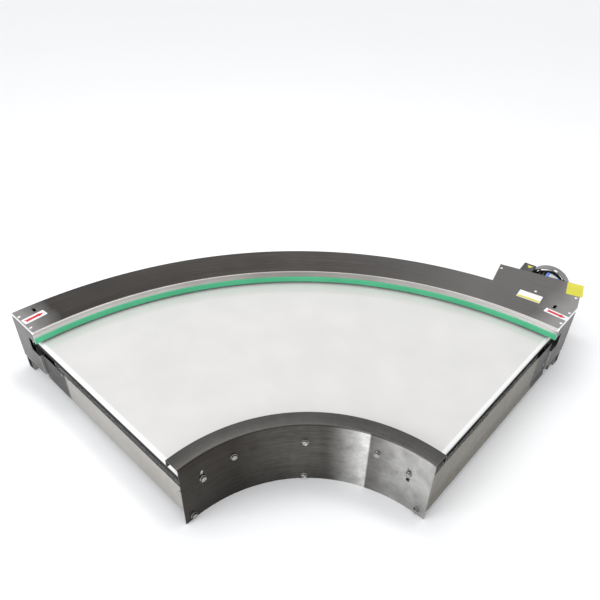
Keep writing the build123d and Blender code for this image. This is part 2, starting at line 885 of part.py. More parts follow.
def pressure_bracket():
    """Angle that hangs from the upper shelf and holds the pressure roller's axle."""
    start = drive_wheel_outer + pressure_bracket_gap
    low = pressure_height - pressure_axle_diameter
    outline = Rectangle(pressure_bracket_width, upper_shelf_low - low)
    middle = drive_frame(start, (low + upper_shelf_low) / 2)
    plate = extrude(middle * outline, amount=pressure_bracket_thickness)
    foot_outline = Rectangle(pressure_bracket_width, pressure_bracket_thickness)
    foot_frame = drive_frame(start, upper_shelf_low - pressure_bracket_thickness / 2)
    foot = extrude(foot_frame * foot_outline, amount=pressure_bracket_foot)
    hole = drive_frame(start, pressure_height) * Circle(pressure_axle_diameter / 2)
    return plate + foot - extrude(hole, amount=pressure_bracket_thickness)


def gearbox_housing():
    """Cast housing round an output shaft below and an input shaft above."""
    output = Circle(gearbox_output_radius)
    entry = Pos(0, gearbox_offset) * Circle(gearbox_input_radius)
    outline = make_hull(output.edges() + entry.edges())
    length = mount_plate_radius - gearbox_front_radius
    body = extrude(drive_frame(gearbox_front_radius, drive_height) * outline, amount=length)
    front = body.faces().sort_by(lambda face: face.center().dot(direction(drive_azimuth)))[0]
    body = chamfer(front.edges(), length=gearbox_round)
    ring = Circle(bearing_groove_radius) - Circle(bearing_groove_radius - bearing_groove_width)
    body -= extrude(drive_frame(gearbox_front_radius, drive_height) * ring, amount=sheet)
    return body


def drive_mount_plate():
    """Plate between gearbox and motor, welded to feet on the tray and below the cover."""
    height = cover_under - tray_floor
    frame = drive_frame(mount_plate_radius, (cover_under + tray_floor) / 2)
    plate = extrude(frame * Rectangle(mount_plate_width, height), amount=mount_plate_thickness)
    for level in (tray_floor + sheet / 2, cover_under - sheet / 2):
        foot = drive_frame(mount_plate_back, level) * Rectangle(mount_plate_width, sheet)
        plate += extrude(foot, amount=mount_plate_flange)
    return plate - cover_hole(place(drive_azimuth, mount_plate_back + mount_plate_flange / 2 - sheet))


def motor_body():
    """Motor with its flange, a finned shell and four lugs for the fan cover."""
    core = motor_core_diameter / 2
    body = extrude(drive_frame(mount_plate_back, motor_height) * Circle(motor_flange_diameter / 2),
                   amount=motor_flange_thickness)
    body += extrude(drive_frame(motor_start, motor_height) * Circle(core), amount=motor_length)
    fin = Pos(core + fin_height / 2 - sheet / 2, 0) * Rectangle(fin_height + sheet, fin_thickness)
    fins = Sketch() + [Rot(0, 0, index * 360 / fin_count) * fin for index in range(fin_count)]
    length = fan_cover_start - motor_start - 2 * fin_margin
    body += extrude(drive_frame(motor_start + fin_margin, motor_height) * fins, amount=length)
    lug_reach = fan_cover_diameter / 2 - fan_cover_wall
    lug = Pos(lug_reach / 2, 0) * Rectangle(lug_reach, 4 * fin_thickness)
    lugs = Sketch() + [Rot(0, 0, 45 + index * 90) * lug for index in range(4)]
    lugs &= Circle(lug_reach)
    body += extrude(drive_frame(fan_cover_start, motor_height) * lugs, amount=fan_cover_overlap)
    seat = Circle(motor_shaft_diameter / 2 + shaft_fit)
    body -= extrude(drive_frame(motor_end - motor_shaft_seat, motor_height) * seat, amount=motor_shaft_seat)
    return body


def fan_cover():
    """Pressed cap with bevelled rear edge and a grille of ring slots between spokes."""
    outer = fan_cover_diameter / 2
    cap = extrude(drive_frame(fan_cover_start, motor_height) * Circle(outer), amount=fan_cover_depth)
    rear = cap.faces().sort_by(lambda face: face.center().dot(direction(drive_azimuth)))[-1]
    cap = chamfer(rear.edges(), length=fan_cover_round)
    front = cap.faces().sort_by(lambda face: face.center().dot(direction(drive_azimuth)))[0]
    cap = offset(cap, amount=-fan_cover_wall, openings=front)
    slots = Sketch()
    radius = fan_hub_diameter / 2
    while radius + grille_slot_width < outer - fan_cover_round:
        slots += Circle(radius + grille_slot_width) - Circle(radius)
        radius += grille_ring_pitch
    spoke = Rectangle(2 * outer, grille_spoke_width)
    for index in range(grille_spoke_count // 2):
        slots -= Rot(0, 0, index * 360 / grille_spoke_count) * spoke
    depth = 3 * fan_cover_wall
    return cap - extrude(drive_frame(fan_cover_end - depth, motor_height) * slots, amount=2 * depth)


def motor_shaft():
    start = motor_end - motor_shaft_seat + running_gap
    end = motor_end + fan_side_gap + fan_depth + sheet
    return extrude(drive_frame(start, motor_height) * Circle(motor_shaft_diameter / 2), amount=end - start)


def motor_fan():
    """Straight-bladed fan on a hub with a back plate."""
    start = motor_end + fan_side_gap
    hub = extrude(drive_frame(start, motor_height) * Circle(fan_hub_diameter / 2), amount=fan_depth)
    plate = extrude(drive_frame(start, motor_height) * Circle(fan_diameter / 2), amount=sheet)
    span = fan_diameter / 2
    blade = Pos(span / 2, 0) * Rectangle(span, fan_blade_thickness)
    blades = Sketch() + [Rot(0, 0, index * 360 / fan_blade_count) * blade for index in range(fan_blade_count)]
    fan = hub + plate + extrude(drive_frame(start, motor_height) * blades, amount=fan_depth)
    bore = Circle(motor_shaft_diameter / 2)
    return fan - extrude(drive_frame(start, motor_height) * bore, amount=fan_depth)


def terminal_frame(away):
    """Frame beside the motor, a distance away from its axis: z points away from it and y up."""
    radius = motor_end - terminal_box_back - terminal_box_length / 2
    start = place(drive_azimuth, radius, motor_height + terminal_box_rise)
    return Plane(
        origin=start + tangent(drive_azimuth) * -away,
        x_dir=direction(drive_azimuth) * -1,
        z_dir=tangent(drive_azimuth) * -1,
    )


def terminal_box():
    """Box high on the motor's side, hollowed to sit on the tips of the fins."""
    outline = RectangleRounded(terminal_box_length, terminal_box_height, terminal_round)
    box = extrude(terminal_frame(terminal_box_start) * outline, amount=terminal_box_depth)
    motor = Circle(motor_core_diameter / 2 + fin_height + seat_gap)
    return box - extrude(drive_frame(motor_start, motor_height) * motor, amount=motor_length)


def terminal_box_lid():
    length = terminal_box_length + 2 * terminal_lid_overlap
    height = terminal_box_height + 2 * terminal_lid_overlap
    outline = RectangleRounded(length, height, terminal_round + terminal_lid_overlap)
    away = terminal_box_start + terminal_box_depth
    lid = extrude(terminal_frame(away) * outline, amount=terminal_lid_thickness)
    rim = lid.faces().sort_by(lambda face: face.center().dot(tangent(drive_azimuth)))[0]
    return chamfer(rim.edges(), length=terminal_lid_thickness / 3)


def gland_frame():
    """Frame on the rear face of the terminal box, beside the fan cover: z leaves the box."""
    middle = terminal_frame(terminal_box_start + terminal_box_depth - gland_inset)
    origin = middle.origin - middle.x_dir * (terminal_box_length / 2) + middle.y_dir * gland_rise
    return Plane(origin=origin, x_dir=(0, 0, 1), z_dir=middle.x_dir * -1)


def cable_gland():
    """Gland with a hexagon and a domed nut, bored for the cable."""
    hexagon = RegularPolygon(gland_hexagon / math.sqrt(3), 6)
    hexagon = extrude(gland_frame() * hexagon, amount=gland_length / 3)
    nut = extrude(gland_frame() * Circle(gland_diameter / 2), amount=gland_length)
    nut = chamfer(nut.faces().sort_by(lambda face: face.center().dot(gland_frame().z_dir))[-1].edges(),
                  length=gland_chamfer)
    return hexagon + nut - extrude(gland_frame() * Circle(gland_bore / 2), amount=gland_length)


def hex_bolt(azimuth, height, reach):
    """Bolt with a washer on the guard's inner face."""
    rise = washer_diameter**2 / (8 * guard_radius)
    frame = radial_frame(azimuth, guard_radius - washer_thickness - rise, height)
    bolt = extrude(frame * small_round(washer_diameter), amount=washer_thickness)
    head = RegularPolygon(bolt_head_width / math.sqrt(3), 6)
    bolt += extrude(frame * head, amount=-bolt_head_height)
    shank = small_round(bolt_diameter - 2 * bolt_clearance)
    return bolt + extrude(frame * shank, amount=washer_thickness + rise + reach)


def upper_guard_bolts():
    reach = sheet + cross_member_end
    return [hex_bolt(side * cross_member_azimuth, upper_bolt_height, reach) for side in (-1, 0, 1)]


def slot_bolts():
    reach = sheet + inner_block_thickness
    return [hex_bolt(side * guard_slot_azimuth, guard_slot_height, reach) for side in (-1, 1)]


def lower_guard_bolts():
    reach = 2 * sheet
    return [hex_bolt(side * lower_bolt_azimuth, lower_bolt_height, reach) for side in (-1, 0, 1)]


def cover_screws():
    screws = []
    for spot in cover_screw_places():
        head = extrude(Pos(spot.X, spot.Y, cover_height) * small_round(screw_head_diameter),
                       amount=screw_head_height)
        shank = extrude(Pos(spot.X, spot.Y, cover_height) * small_round(screw_shank), amount=-screw_length)
        screws.append(head + shank)
    return screws


def single(solid):
    return [solid]


nodes = {
    "inner_guard": single(inner_guard()),
    "top_cover": single(top_cover()),
    "green_edge_strip": single(green_edge_strip()),
    "outer_wall": single(outer_wall()),
    "lower_tray": single(lower_tray()),
    "extension_walls": extension_walls(),
    "infeed_end_plate": single(end_plate(INFEED)),
    "discharge_end_plate": single(end_plate(DISCHARGE)),
    "infeed_cross_plate": single(infeed_cross_plate()),
    "discharge_cross_plate": single(discharge_cross_plate()),
    "middle_cross_beam": single(middle_cross_beam()),
    "slider_bed": single(slider_bed()),
    "bed_cross_members": bed_cross_members(),
    "return_bars": return_bars(),
    "upper_guide_shelf": single(upper_guide_shelf()),
    "lower_guide_shelf": lower_guide_shelf(),
    "upper_guide_rail": single(upper_guide_rail()),
    "lower_guide_rail": single(lower_guide_rail()),
    "conveyor_belt": single(conveyor_belt()),
    "belt_guide_bead": single(belt_guide_bead()),
    "infeed_nose_shaft": single(nose_shaft(INFEED)),
    "discharge_nose_shaft": single(nose_shaft(DISCHARGE)),
    "inner_shaft_blocks": inner_shaft_blocks(),
    "outer_shaft_blocks": outer_shaft_blocks(),
    "stand_brackets": stand_brackets(),
    "discharge_buffer": single(discharge_buffer()),
    "drive_shaft": single(drive_shaft()),
    "drive_wheel_hub": single(drive_wheel_hub()),
    "drive_wheel_tyre": single(drive_wheel_tyre()),
    "pressure_roller": single(pressure_roller()),
    "pressure_axle": single(pressure_axle()),
    "pressure_bracket": single(pressure_bracket()),
    "gearbox_housing": single(gearbox_housing()),
    "drive_mount_plate": single(drive_mount_plate()),
    "motor_body": single(motor_body()),
    "fan_cover": single(fan_cover()),
    "motor_shaft": single(motor_shaft()),
    "motor_fan": single(motor_fan()),
    "terminal_box": single(terminal_box()),
    "terminal_box_lid": single(terminal_box_lid()),
    "cable_gland": single(cable_gland()),
    "upper_guard_bolts": upper_guard_bolts(),
    "slot_bolts": slot_bolts(),
    "lower_guard_bolts": lower_guard_bolts(),
    "cover_screws": cover_screws(),
}
for side, name in ((INFEED, "infeed"), (DISCHARGE, "discharge")):
    for index in range(roller_count):
        nodes[f"{name}_nose_roller_{index + 1}"] = single(nose_roller(side, index))


def whole_box():
    """Box round every piece, in the frame of the turn."""
    return Compound(children=[Compound(children=solids) for solids in nodes.values()]).bounding_box()


# The row's origin is on the floor, at the middle of the whole conveyor's outline.
box = whole_box()
origin_shift = Vector(-(box.min.X + box.max.X) / 2, -(box.min.Y + box.max.Y) / 2, -box.min.Z)

for name, solids in nodes.items():
    moved = [solid.moved(Location(origin_shift)) for solid in solids]
    export_step(Compound(children=moved), f"parts/{name}.step")
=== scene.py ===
import json
import math

import bmesh
import bpy
from mathutils import Matrix, Vector


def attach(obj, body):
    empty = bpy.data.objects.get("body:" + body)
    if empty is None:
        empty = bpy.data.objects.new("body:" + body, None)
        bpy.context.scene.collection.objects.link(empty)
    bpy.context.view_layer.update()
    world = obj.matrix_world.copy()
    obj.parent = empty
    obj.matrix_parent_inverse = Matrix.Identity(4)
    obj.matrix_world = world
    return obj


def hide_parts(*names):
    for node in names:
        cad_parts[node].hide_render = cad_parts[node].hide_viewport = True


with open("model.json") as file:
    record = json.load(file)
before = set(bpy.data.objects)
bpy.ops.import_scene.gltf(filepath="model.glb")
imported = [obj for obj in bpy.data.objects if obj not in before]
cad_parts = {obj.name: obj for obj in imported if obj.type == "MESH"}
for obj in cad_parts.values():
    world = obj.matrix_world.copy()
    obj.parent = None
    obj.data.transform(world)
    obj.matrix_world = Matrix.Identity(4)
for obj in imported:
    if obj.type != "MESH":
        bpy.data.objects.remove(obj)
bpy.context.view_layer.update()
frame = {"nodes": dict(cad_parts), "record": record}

# Sizes are in metres. Azimuths are in degrees from +Y towards +X, about the centre of the turn.
TURN_CENTRE = Vector((-0.0484735, -0.729047, 0.0))
HALF_TURN = 45.0
INFEED = -1
DISCHARGE = 1
UP = (0, 0, 1)

# Thickness of cover and guard, their straight length past each end of the turn, and their slots' width
SHEET = 0.002
END_STRAIGHT = 0.019
SLOT_WIDTH = 0.009

# Cover with its extension plate over the drive
COVER_TOP = 0.200
OUTER_RADIUS = 1.200
LIP_RADIUS = 1.060
LIP_LOW = 0.165
COVER_BEND = 0.009
EXTENSION_AZIMUTH = 31.0
EXTENSION_LENGTH = 0.158
EXTENSION_WIDTH = 0.268
COVER_SLOT_AZIMUTH = 43.15
COVER_SLOT_RADIUS = 1.170
COVER_SLOT_LENGTH = 0.022
COVER_HOLE_RADIUS = 0.00275
COVER_SCREWS = ((0.7067, 1.0794), (0.7714, 0.9373), (0.8879, 0.8986), (0.8315, 0.8192), (0.7830, 0.7686),
                (-0.8297, 0.8169), (-0.7771, 0.7649))

# Strip clipped on the cover's lip
STRIP_PROUD = 0.0025
STRIP_BELOW_LIP = 0.002
STRIP_UP_LIP = 0.0165
STRIP_EDGE = 0.0015
GROOVE_BELOW_TOP = 0.0052
GROOVE_HALF_WIDTH = 0.0007
GROOVE_DEPTH = 0.0006

# Guard with its bolts, each at an azimuth and a height
GUARD_RADIUS = 0.384
GUARD_TOP = 0.199
GUARD_FLANGE = 0.046
GUARD_LIP = 0.025
GUARD_BEND = 0.004
GUARD_HOLE_RADIUS = 0.0045
GUARD_SLOT_LENGTH = 0.052
UPPER_BOLTS = [(azimuth, 0.140) for azimuth in (-26.5, 0.0, 26.5)]
SLOT_BOLTS = [(azimuth, 0.121) for azimuth in (-38.9, 38.9)]
LOWER_BOLTS = [(azimuth, 0.014) for azimuth in (-44.4, 0.0, 44.4)]

# Height of the belt, and how far inside the ends of the turn the middles of its noses lie
BELT_TOP = 0.156
INFEED_NOSE_INSET = 0.007
DISCHARGE_NOSE_INSET = 0.013

# Steps of the arcs, and the whole turn as a span in degrees with its steps
ARC_STEPS = 72
SHORT_ARC_STEPS = 20
WHOLE_TURN = ((2 * HALF_TURN, ARC_STEPS),)

# Distances below which points count as one, and margins for picking points
MERGE_DISTANCE = 1e-6
TOUCHING = 1e-5
SEAM_DISTANCE = 2e-5
NEAR = 1e-4
AZIMUTH_MARGIN = 0.001
CLEAR_OF_RING = 0.01


def direction(azimuth):
    """Unit vector that points away from the centre of the turn."""
    angle = math.radians(azimuth)
    return Vector((math.sin(angle), math.cos(angle), 0.0))


def tangent(azimuth):
    """Unit vector along the turn, from the infeed towards the discharge."""
    angle = math.radians(azimuth)
    return Vector((math.cos(angle), -math.sin(angle), 0.0))


def at_turn(azimuth, radius, height):
    return TURN_CENTRE + direction(azimuth) * radius + Vector((0, 0, height))


def at_end(side, radius, out, height):
    """Point beside an end's radial line, a distance out past it."""
    return at_turn(side * HALF_TURN, radius, height) + tangent(side * HALF_TURN) * side * out


def on_cover(x, y):
    """Point on the cover, given from the centre of the turn."""
    return TURN_CENTRE + Vector((x, y, COVER_TOP))


# Camera, floor and light

# The camera's place from the centre of the turn, its angles in radians and its lens in millimetres
CAMERA_PLACE = Vector((-0.0638967, -0.5160747, 1.2070687))
CAMERA_YAW = 0.04815258
CAMERA_PITCH = 0.61849607
CAMERA_ROLL = 0.02291888
LENS_LENGTH = 33.243
SENSOR_WIDTH = 36.0
FLOOR_WIDTH = 60.0


def add_camera():
    """Camera at the photograph's place and angle, which sees as far as the floor is wide."""
    level = math.cos(CAMERA_PITCH)
    forward = Vector((math.sin(CAMERA_YAW) * level, math.cos(CAMERA_YAW) * level, -math.sin(CAMERA_PITCH)))
    right = Vector((math.cos(CAMERA_YAW), -math.sin(CAMERA_YAW), 0.0))
    up = right.cross(forward)
    across = right * math.cos(CAMERA_ROLL) + up * math.sin(CAMERA_ROLL)
    upright = up * math.cos(CAMERA_ROLL) - right * math.sin(CAMERA_ROLL)
    turn = Matrix((across, upright, -forward)).transposed().to_4x4()
    lens = bpy.data.cameras.new("camera")
    lens.sensor_fit = "HORIZONTAL"
    lens.sensor_width = SENSOR_WIDTH
    lens.lens = LENS_LENGTH
    lens.clip_end = FLOOR_WIDTH
    camera = bpy.data.objects.new("camera", lens)
    camera.matrix_world = Matrix.Translation(TURN_CENTRE + CAMERA_PLACE) @ turn
    bpy.context.scene.collection.objects.link(camera)
    bpy.context.scene.camera = camera
    bpy.context.scene.view_settings.view_transform = "Standard"


def add_area_light(name, spot, target, width, height, power, colour):
    lamp = bpy.data.lights.new(name, "AREA")
    lamp.shape = "RECTANGLE"
    lamp.size = width
    lamp.size_y = height
    lamp.energy = power
    lamp.color = colour
    holder = bpy.data.objects.new(name, lamp)
    aim = (Vector(target) - Vector(spot)).to_track_quat("-Z", "Y")
    holder.matrix_world = Matrix.Translation(Vector(spot)) @ aim.to_matrix().to_4x4()
    bpy.context.scene.collection.objects.link(holder)


def add_studio():
    """Pale floor, even pale surroundings, and soft panels overhead and on the left."""
    bpy.ops.mesh.primitive_plane_add(size=FLOOR_WIDTH, location=(0, 0, 0))
    floor = bpy.context.object
    floor.name = "studio_floor"
    floor.data.materials.append(studio_floor())
    world = bpy.data.worlds.new("studio_surroundings")
    world.use_nodes = True
    backdrop = world.node_tree.nodes["Background"]
    backdrop.inputs["Color"].default_value = rgb(0.95, 0.96, 0.98)
    backdrop.inputs["Strength"].default_value = 1.0
    bpy.context.scene.world = world
    add_area_light("overhead_panel", spot=(0.3, 0.6, 3.2), target=(0.0, 0.1, 0.1), width=2.4, height=0.6,
                   power=26.0, colour=(1.0, 0.99, 0.97))
    add_area_light("left_panel", spot=(-2.6, -1.4, 2.0), target=(0.0, 0.0, 0.1), width=1.6, height=1.0,
                   power=26.0, colour=(0.97, 0.98, 1.0))


# Material tools

def fill_inputs(tree, node, values):
    """Gives the inputs of a node their constants or links."""
    for name, value in values.items():
        if isinstance(value, bpy.types.NodeSocket):
            tree.links.new(value, node.inputs[name])
        else:
            node.inputs[name].default_value = value


def add_node(tree, kind, values, **settings):
    """Node with its settings, and with constants or links for the inputs named in values."""
    node = tree.nodes.new(kind)
    for name, value in settings.items():
        setattr(node, name, value)
    fill_inputs(tree, node, values)
    return node


def math_node(tree, operation, first, second=None):
    values = {0: first}
    if second is not None:
        values[1] = second
    return add_node(tree, "ShaderNodeMath", values, operation=operation).outputs[0]


def vector_node(tree, operation, first, second):
    """Outputs of a vector sum: 0 is a vector and 1 a value."""
    values = {0: first, 1: second}
    return add_node(tree, "ShaderNodeVectorMath", values, operation=operation).outputs


def plus(tree, first, second):
    return math_node(tree, "ADD", first, second)


def times(tree, first, second):
    return math_node(tree, "MULTIPLY", first, second)


def mix_colours(tree, share, low, high):
    """Mix of two colours, which this node takes as its inputs 6 and 7 and gives as its output 2."""
    return add_node(tree, "ShaderNodeMix", {0: share, 6: low, 7: high}, data_type="RGBA").outputs[2]


def spread(tree, value, low, high, new_low=0.0, new_high=1.0):
    """Value carried from one range to another and held inside it."""
    return add_node(tree, "ShaderNodeMapRange", {
        "Value": value, "From Min": low, "From Max": high, "To Min": new_low, "To Max": new_high,
    }).outputs[0]


def noise(tree, place, scale, detail=2.0, roughness=0.5):
    return add_node(tree, "ShaderNodeTexNoise", {
        "Vector": place, "Scale": scale, "Detail": detail, "Roughness": roughness,
    }).outputs["Fac"]


def new_group(name, inputs, outputs):
    """Empty shader node group with named sockets, each with a kind and a first value."""
    group = bpy.data.node_groups.new(name, "ShaderNodeTree")
    for label, kind, value in inputs:
        made = group.interface.new_socket(name=label, in_out="INPUT", socket_type=kind)
        if value is not None:
            made.default_value = value
    for label, kind in outputs:
        group.interface.new_socket(name=label, in_out="OUTPUT", socket_type=kind)
    start = group.nodes.new("NodeGroupInput")
    end = group.nodes.new("NodeGroupOutput")
    return group, start, end


def rgb(red, green, blue):
    return (red, green, blue, 1.0)


def grey(value):
    return rgb(value, value, value)


COLOUR = "NodeSocketColor"
FLOAT = "NodeSocketFloat"
VECTOR = "NodeSocketVector"
SURFACE_OUTPUTS = [("Color", COLOUR), ("Roughness", FLOAT), ("Height", FLOAT)]


def make_turn_coordinates():
    """Place as radius, azimuth in radians and height, and how far it is past both ends of the turn."""
    group, start, end = new_group(
        "turn_coordinates",
        [("Place", VECTOR, None)],
        [("Place Along Turn", VECTOR), ("Past Infeed", FLOAT), ("Past Discharge", FLOAT)],
    )
    moved = vector_node(group, "SUBTRACT", start.outputs["Place"], TURN_CENTRE)[0]
    x, y, z = add_node(group, "ShaderNodeSeparateXYZ", {0: moved}).outputs
    radius = math_node(group, "SQRT", plus(group, times(group, x, x), times(group, y, y)))
    azimuth = math_node(group, "ARCTAN2", x, y)
    joined = add_node(group, "ShaderNodeCombineXYZ", {"X": radius, "Y": azimuth, "Z": z})
    fill_inputs(group, end, {"Place Along Turn": joined.outputs[0]})
    for side, label in ((INFEED, "Past Infeed"), (DISCHARGE, "Past Discharge")):
        line = tangent(side * HALF_TURN) * side
        fill_inputs(group, end, {label: vector_node(group, "DOT_PRODUCT", moved, line)[1]})


def make_brushed_grain():
    """Fine scratches that run one way, with slow changes of tone and scattered smudges."""
    group, start, end = new_group(
        "brushed_grain",
        [("Place", VECTOR, None), ("Stretch", VECTOR, (1.0, 1.0, 1.0)), ("Dark", COLOUR, grey(0.2)),
         ("Light", COLOUR, grey(0.4)), ("Smooth", FLOAT, 0.2), ("Rough", FLOAT, 0.4)],
        SURFACE_OUTPUTS,
    )
    sockets = start.outputs
    stretched = vector_node(group, "MULTIPLY", sockets["Place"], sockets["Stretch"])[0]
    fine = noise(group, stretched, scale=900.0, detail=3.0, roughness=0.6)
    broad = noise(group, stretched, scale=120.0)
    cloud = noise(group, sockets["Place"], scale=4.0, detail=3.0, roughness=0.55)
    smudge = noise(group, sockets["Place"], scale=22.0, detail=4.0, roughness=0.6)
    grain = plus(group, times(group, fine, 0.45), times(group, broad, 0.3))
    tone = plus(group, grain, times(group, cloud, 0.45))
    share = spread(group, tone, 0.43, 0.77)
    colour = mix_colours(group, share, sockets["Dark"], sockets["Light"])
    wear = plus(group, times(group, grain, 0.6), times(group, smudge, 0.5))
    roughness = spread(group, wear, 0.3, 0.75, sockets["Smooth"], sockets["Rough"])
    fill_inputs(group, end, {"Color": colour, "Roughness": roughness, "Height": grain})


def make_moulded_surface():
    """Soft mottling and fine pits of a moulded, cast or painted surface."""
    group, start, end = new_group(
        "moulded_surface",
        [("Place", VECTOR, None), ("Dark", COLOUR, grey(0.1)), ("Light", COLOUR, grey(0.2)),
         ("Pit Scale", FLOAT, 400.0), ("Smooth", FLOAT, 0.3), ("Rough", FLOAT, 0.5)],
        SURFACE_OUTPUTS,
    )
    sockets = start.outputs
    pits = noise(group, sockets["Place"], sockets["Pit Scale"], detail=3.0, roughness=0.6)
    mottle = noise(group, sockets["Place"], scale=9.0, detail=3.0)
    share = spread(group, plus(group, times(group, pits, 0.3), mottle), 0.45, 0.85)
    colour = mix_colours(group, share, sockets["Dark"], sockets["Light"])
    smear = noise(group, sockets["Place"], scale=30.0, detail=4.0, roughness=0.6)
    roughness = spread(group, smear, 0.3, 0.7, sockets["Smooth"], sockets["Rough"])
    fill_inputs(group, end, {"Color": colour, "Roughness": roughness, "Height": pits})


def group_node(tree, name, values):
    """Node that uses a shared group, with constants or links for its inputs."""
    return add_node(tree, "ShaderNodeGroup", values, node_tree=bpy.data.node_groups[name])


def new_material(name):
    """Material with its tree, its shader and the piece's own place."""
    if name in bpy.data.materials:
        bpy.data.materials.remove(bpy.data.materials[name])
    material = bpy.data.materials.new(name)
    material.use_nodes = True
    tree = material.node_tree
    shader = tree.nodes["Principled BSDF"]
    place = add_node(tree, "ShaderNodeTexCoord", {}).outputs["Object"]
    return material, tree, shader, place


def add_bump(tree, shader, height, depth, strength):
    bump = add_node(tree, "ShaderNodeBump", {"Height": height, "Distance": depth, "Strength": strength})
    tree.links.new(bump.outputs[0], shader.inputs["Normal"])


# Materials

GRAIN_ROUND_TURN = (1.0, 0.02, 1.0)
STRAIGHT_GRAIN = (0.03, 1.0, 1.0)

# Tones of cover, guard, cross plates and belt, with painted shade, highlights and reflections among them
COVER_GROUND = rgb(0.36, 0.35, 0.34)
COVER_SHADOW = rgb(0.028, 0.024, 0.021)
LIP_PAINTED_REFLECTION_MIDDLE = rgb(0.40, 0.385, 0.36)
LIP_PAINTED_REFLECTION_ENDS = rgb(0.72, 0.70, 0.68)
LIP_BEND_PAINTED_REFLECTION = rgb(0.20, 0.19, 0.18)
CUT_END_PAINTED_HIGHLIGHT = grey(0.92)
FLANGE_TONE = rgb(0.088, 0.087, 0.084)
WEB_SHADOW = rgb(0.024, 0.020, 0.016)
WEB_PAINTED_REFLECTION = rgb(0.90, 0.895, 0.87)
BEND_PAINTED_SHADE = rgb(0.035, 0.032, 0.03)
CHANNEL_PAINTED_REFLECTION = rgb(0.014, 0.012, 0.010)
NOSE_PAINTED_HIGHLIGHT = rgb(0.84, 0.84, 0.83)
GAP_PAINTED_SHADE = grey(0.01)

# The guard's bright stretch of painted reflection ends between these azimuths, and its grey stretch of
# painted reflection starts there.
REFLECTION_BRIGHT_END = 23.0
REFLECTION_GREY_START = 23.6


def studio_floor():
    material, tree, shader, place = new_material("studio_floor")
    colour = mix_colours(tree, noise(tree, place, scale=0.6), grey(0.93), grey(0.96))
    fill_inputs(tree, shader, {"Base Color": colour, "Roughness": 0.85})
    return material


def turn_parts(tree, turn):
    """Radius, azimuth in radians and height of a place."""
    return add_node(tree, "ShaderNodeSeparateXYZ", {0: turn.outputs["Place Along Turn"]}).outputs


def over_azimuths(tree, azimuth, start, end, low=0.0, high=1.0):
    """Share that changes between two azimuths in degrees."""
    return spread(tree, azimuth, math.radians(start), math.radians(end), low, high)


def cover_tone_and_painted_light(tree, turn, place, colour):
    """Ground ends, a lighter stretch by the drive, painted shade towards the infeed, a streaky painted
    reflection on the lip that is dimmer on its bend, and a painted highlight on the cut ends.
    """
    radius, azimuth, height = turn_parts(tree, turn)
    by_drive = over_azimuths(tree, azimuth, start=5, end=32, high=0.3)
    colour = mix_colours(tree, by_drive, colour, COVER_GROUND)
    # Painted shade on the cover towards the infeed
    by_infeed = over_azimuths(tree, azimuth, start=-4, end=-30, high=0.4)
    colour = mix_colours(tree, by_infeed, colour, COVER_SHADOW)
    nearest = math_node(tree, "MAXIMUM", turn.outputs["Past Infeed"], turn.outputs["Past Discharge"])
    wander = times(tree, noise(tree, place, scale=14.0, detail=3.0), 0.05)
    by_end = spread(tree, plus(tree, nearest, wander), -0.055, 0.02, new_high=0.85)
    colour = mix_colours(tree, by_end, colour, COVER_GROUND)
    # Painted reflection on the lip, brighter towards the ends and dimmer on the bend
    streak = times(tree, noise(tree, place, scale=7.0, detail=3.0), 0.5)
    from_middle = plus(tree, math_node(tree, "ABSOLUTE", azimuth), streak)
    lip = mix_colours(tree, spread(tree, from_middle, 0.28, 0.8), LIP_PAINTED_REFLECTION_MIDDLE, LIP_PAINTED_REFLECTION_ENDS)
    bend = spread(tree, height, COVER_TOP - COVER_BEND, COVER_TOP - COVER_BEND * 0.2, new_high=0.6)
    lip = mix_colours(tree, bend, lip, LIP_BEND_PAINTED_REFLECTION)
    on_lip = spread(tree, radius, LIP_RADIUS + COVER_BEND, LIP_RADIUS + COVER_BEND * 0.4)
    colour = mix_colours(tree, on_lip, colour, lip)
    # Painted highlight along the cover's cut ends, near the top
    rim = spread(tree, nearest, END_STRAIGHT - 0.0040, END_STRAIGHT - 0.0032)
    cut_end_painted_highlight = times(tree, rim, spread(tree, height, COVER_TOP - 0.004, COVER_TOP - 0.003))
    return mix_colours(tree, cut_end_painted_highlight, colour, CUT_END_PAINTED_HIGHLIGHT)


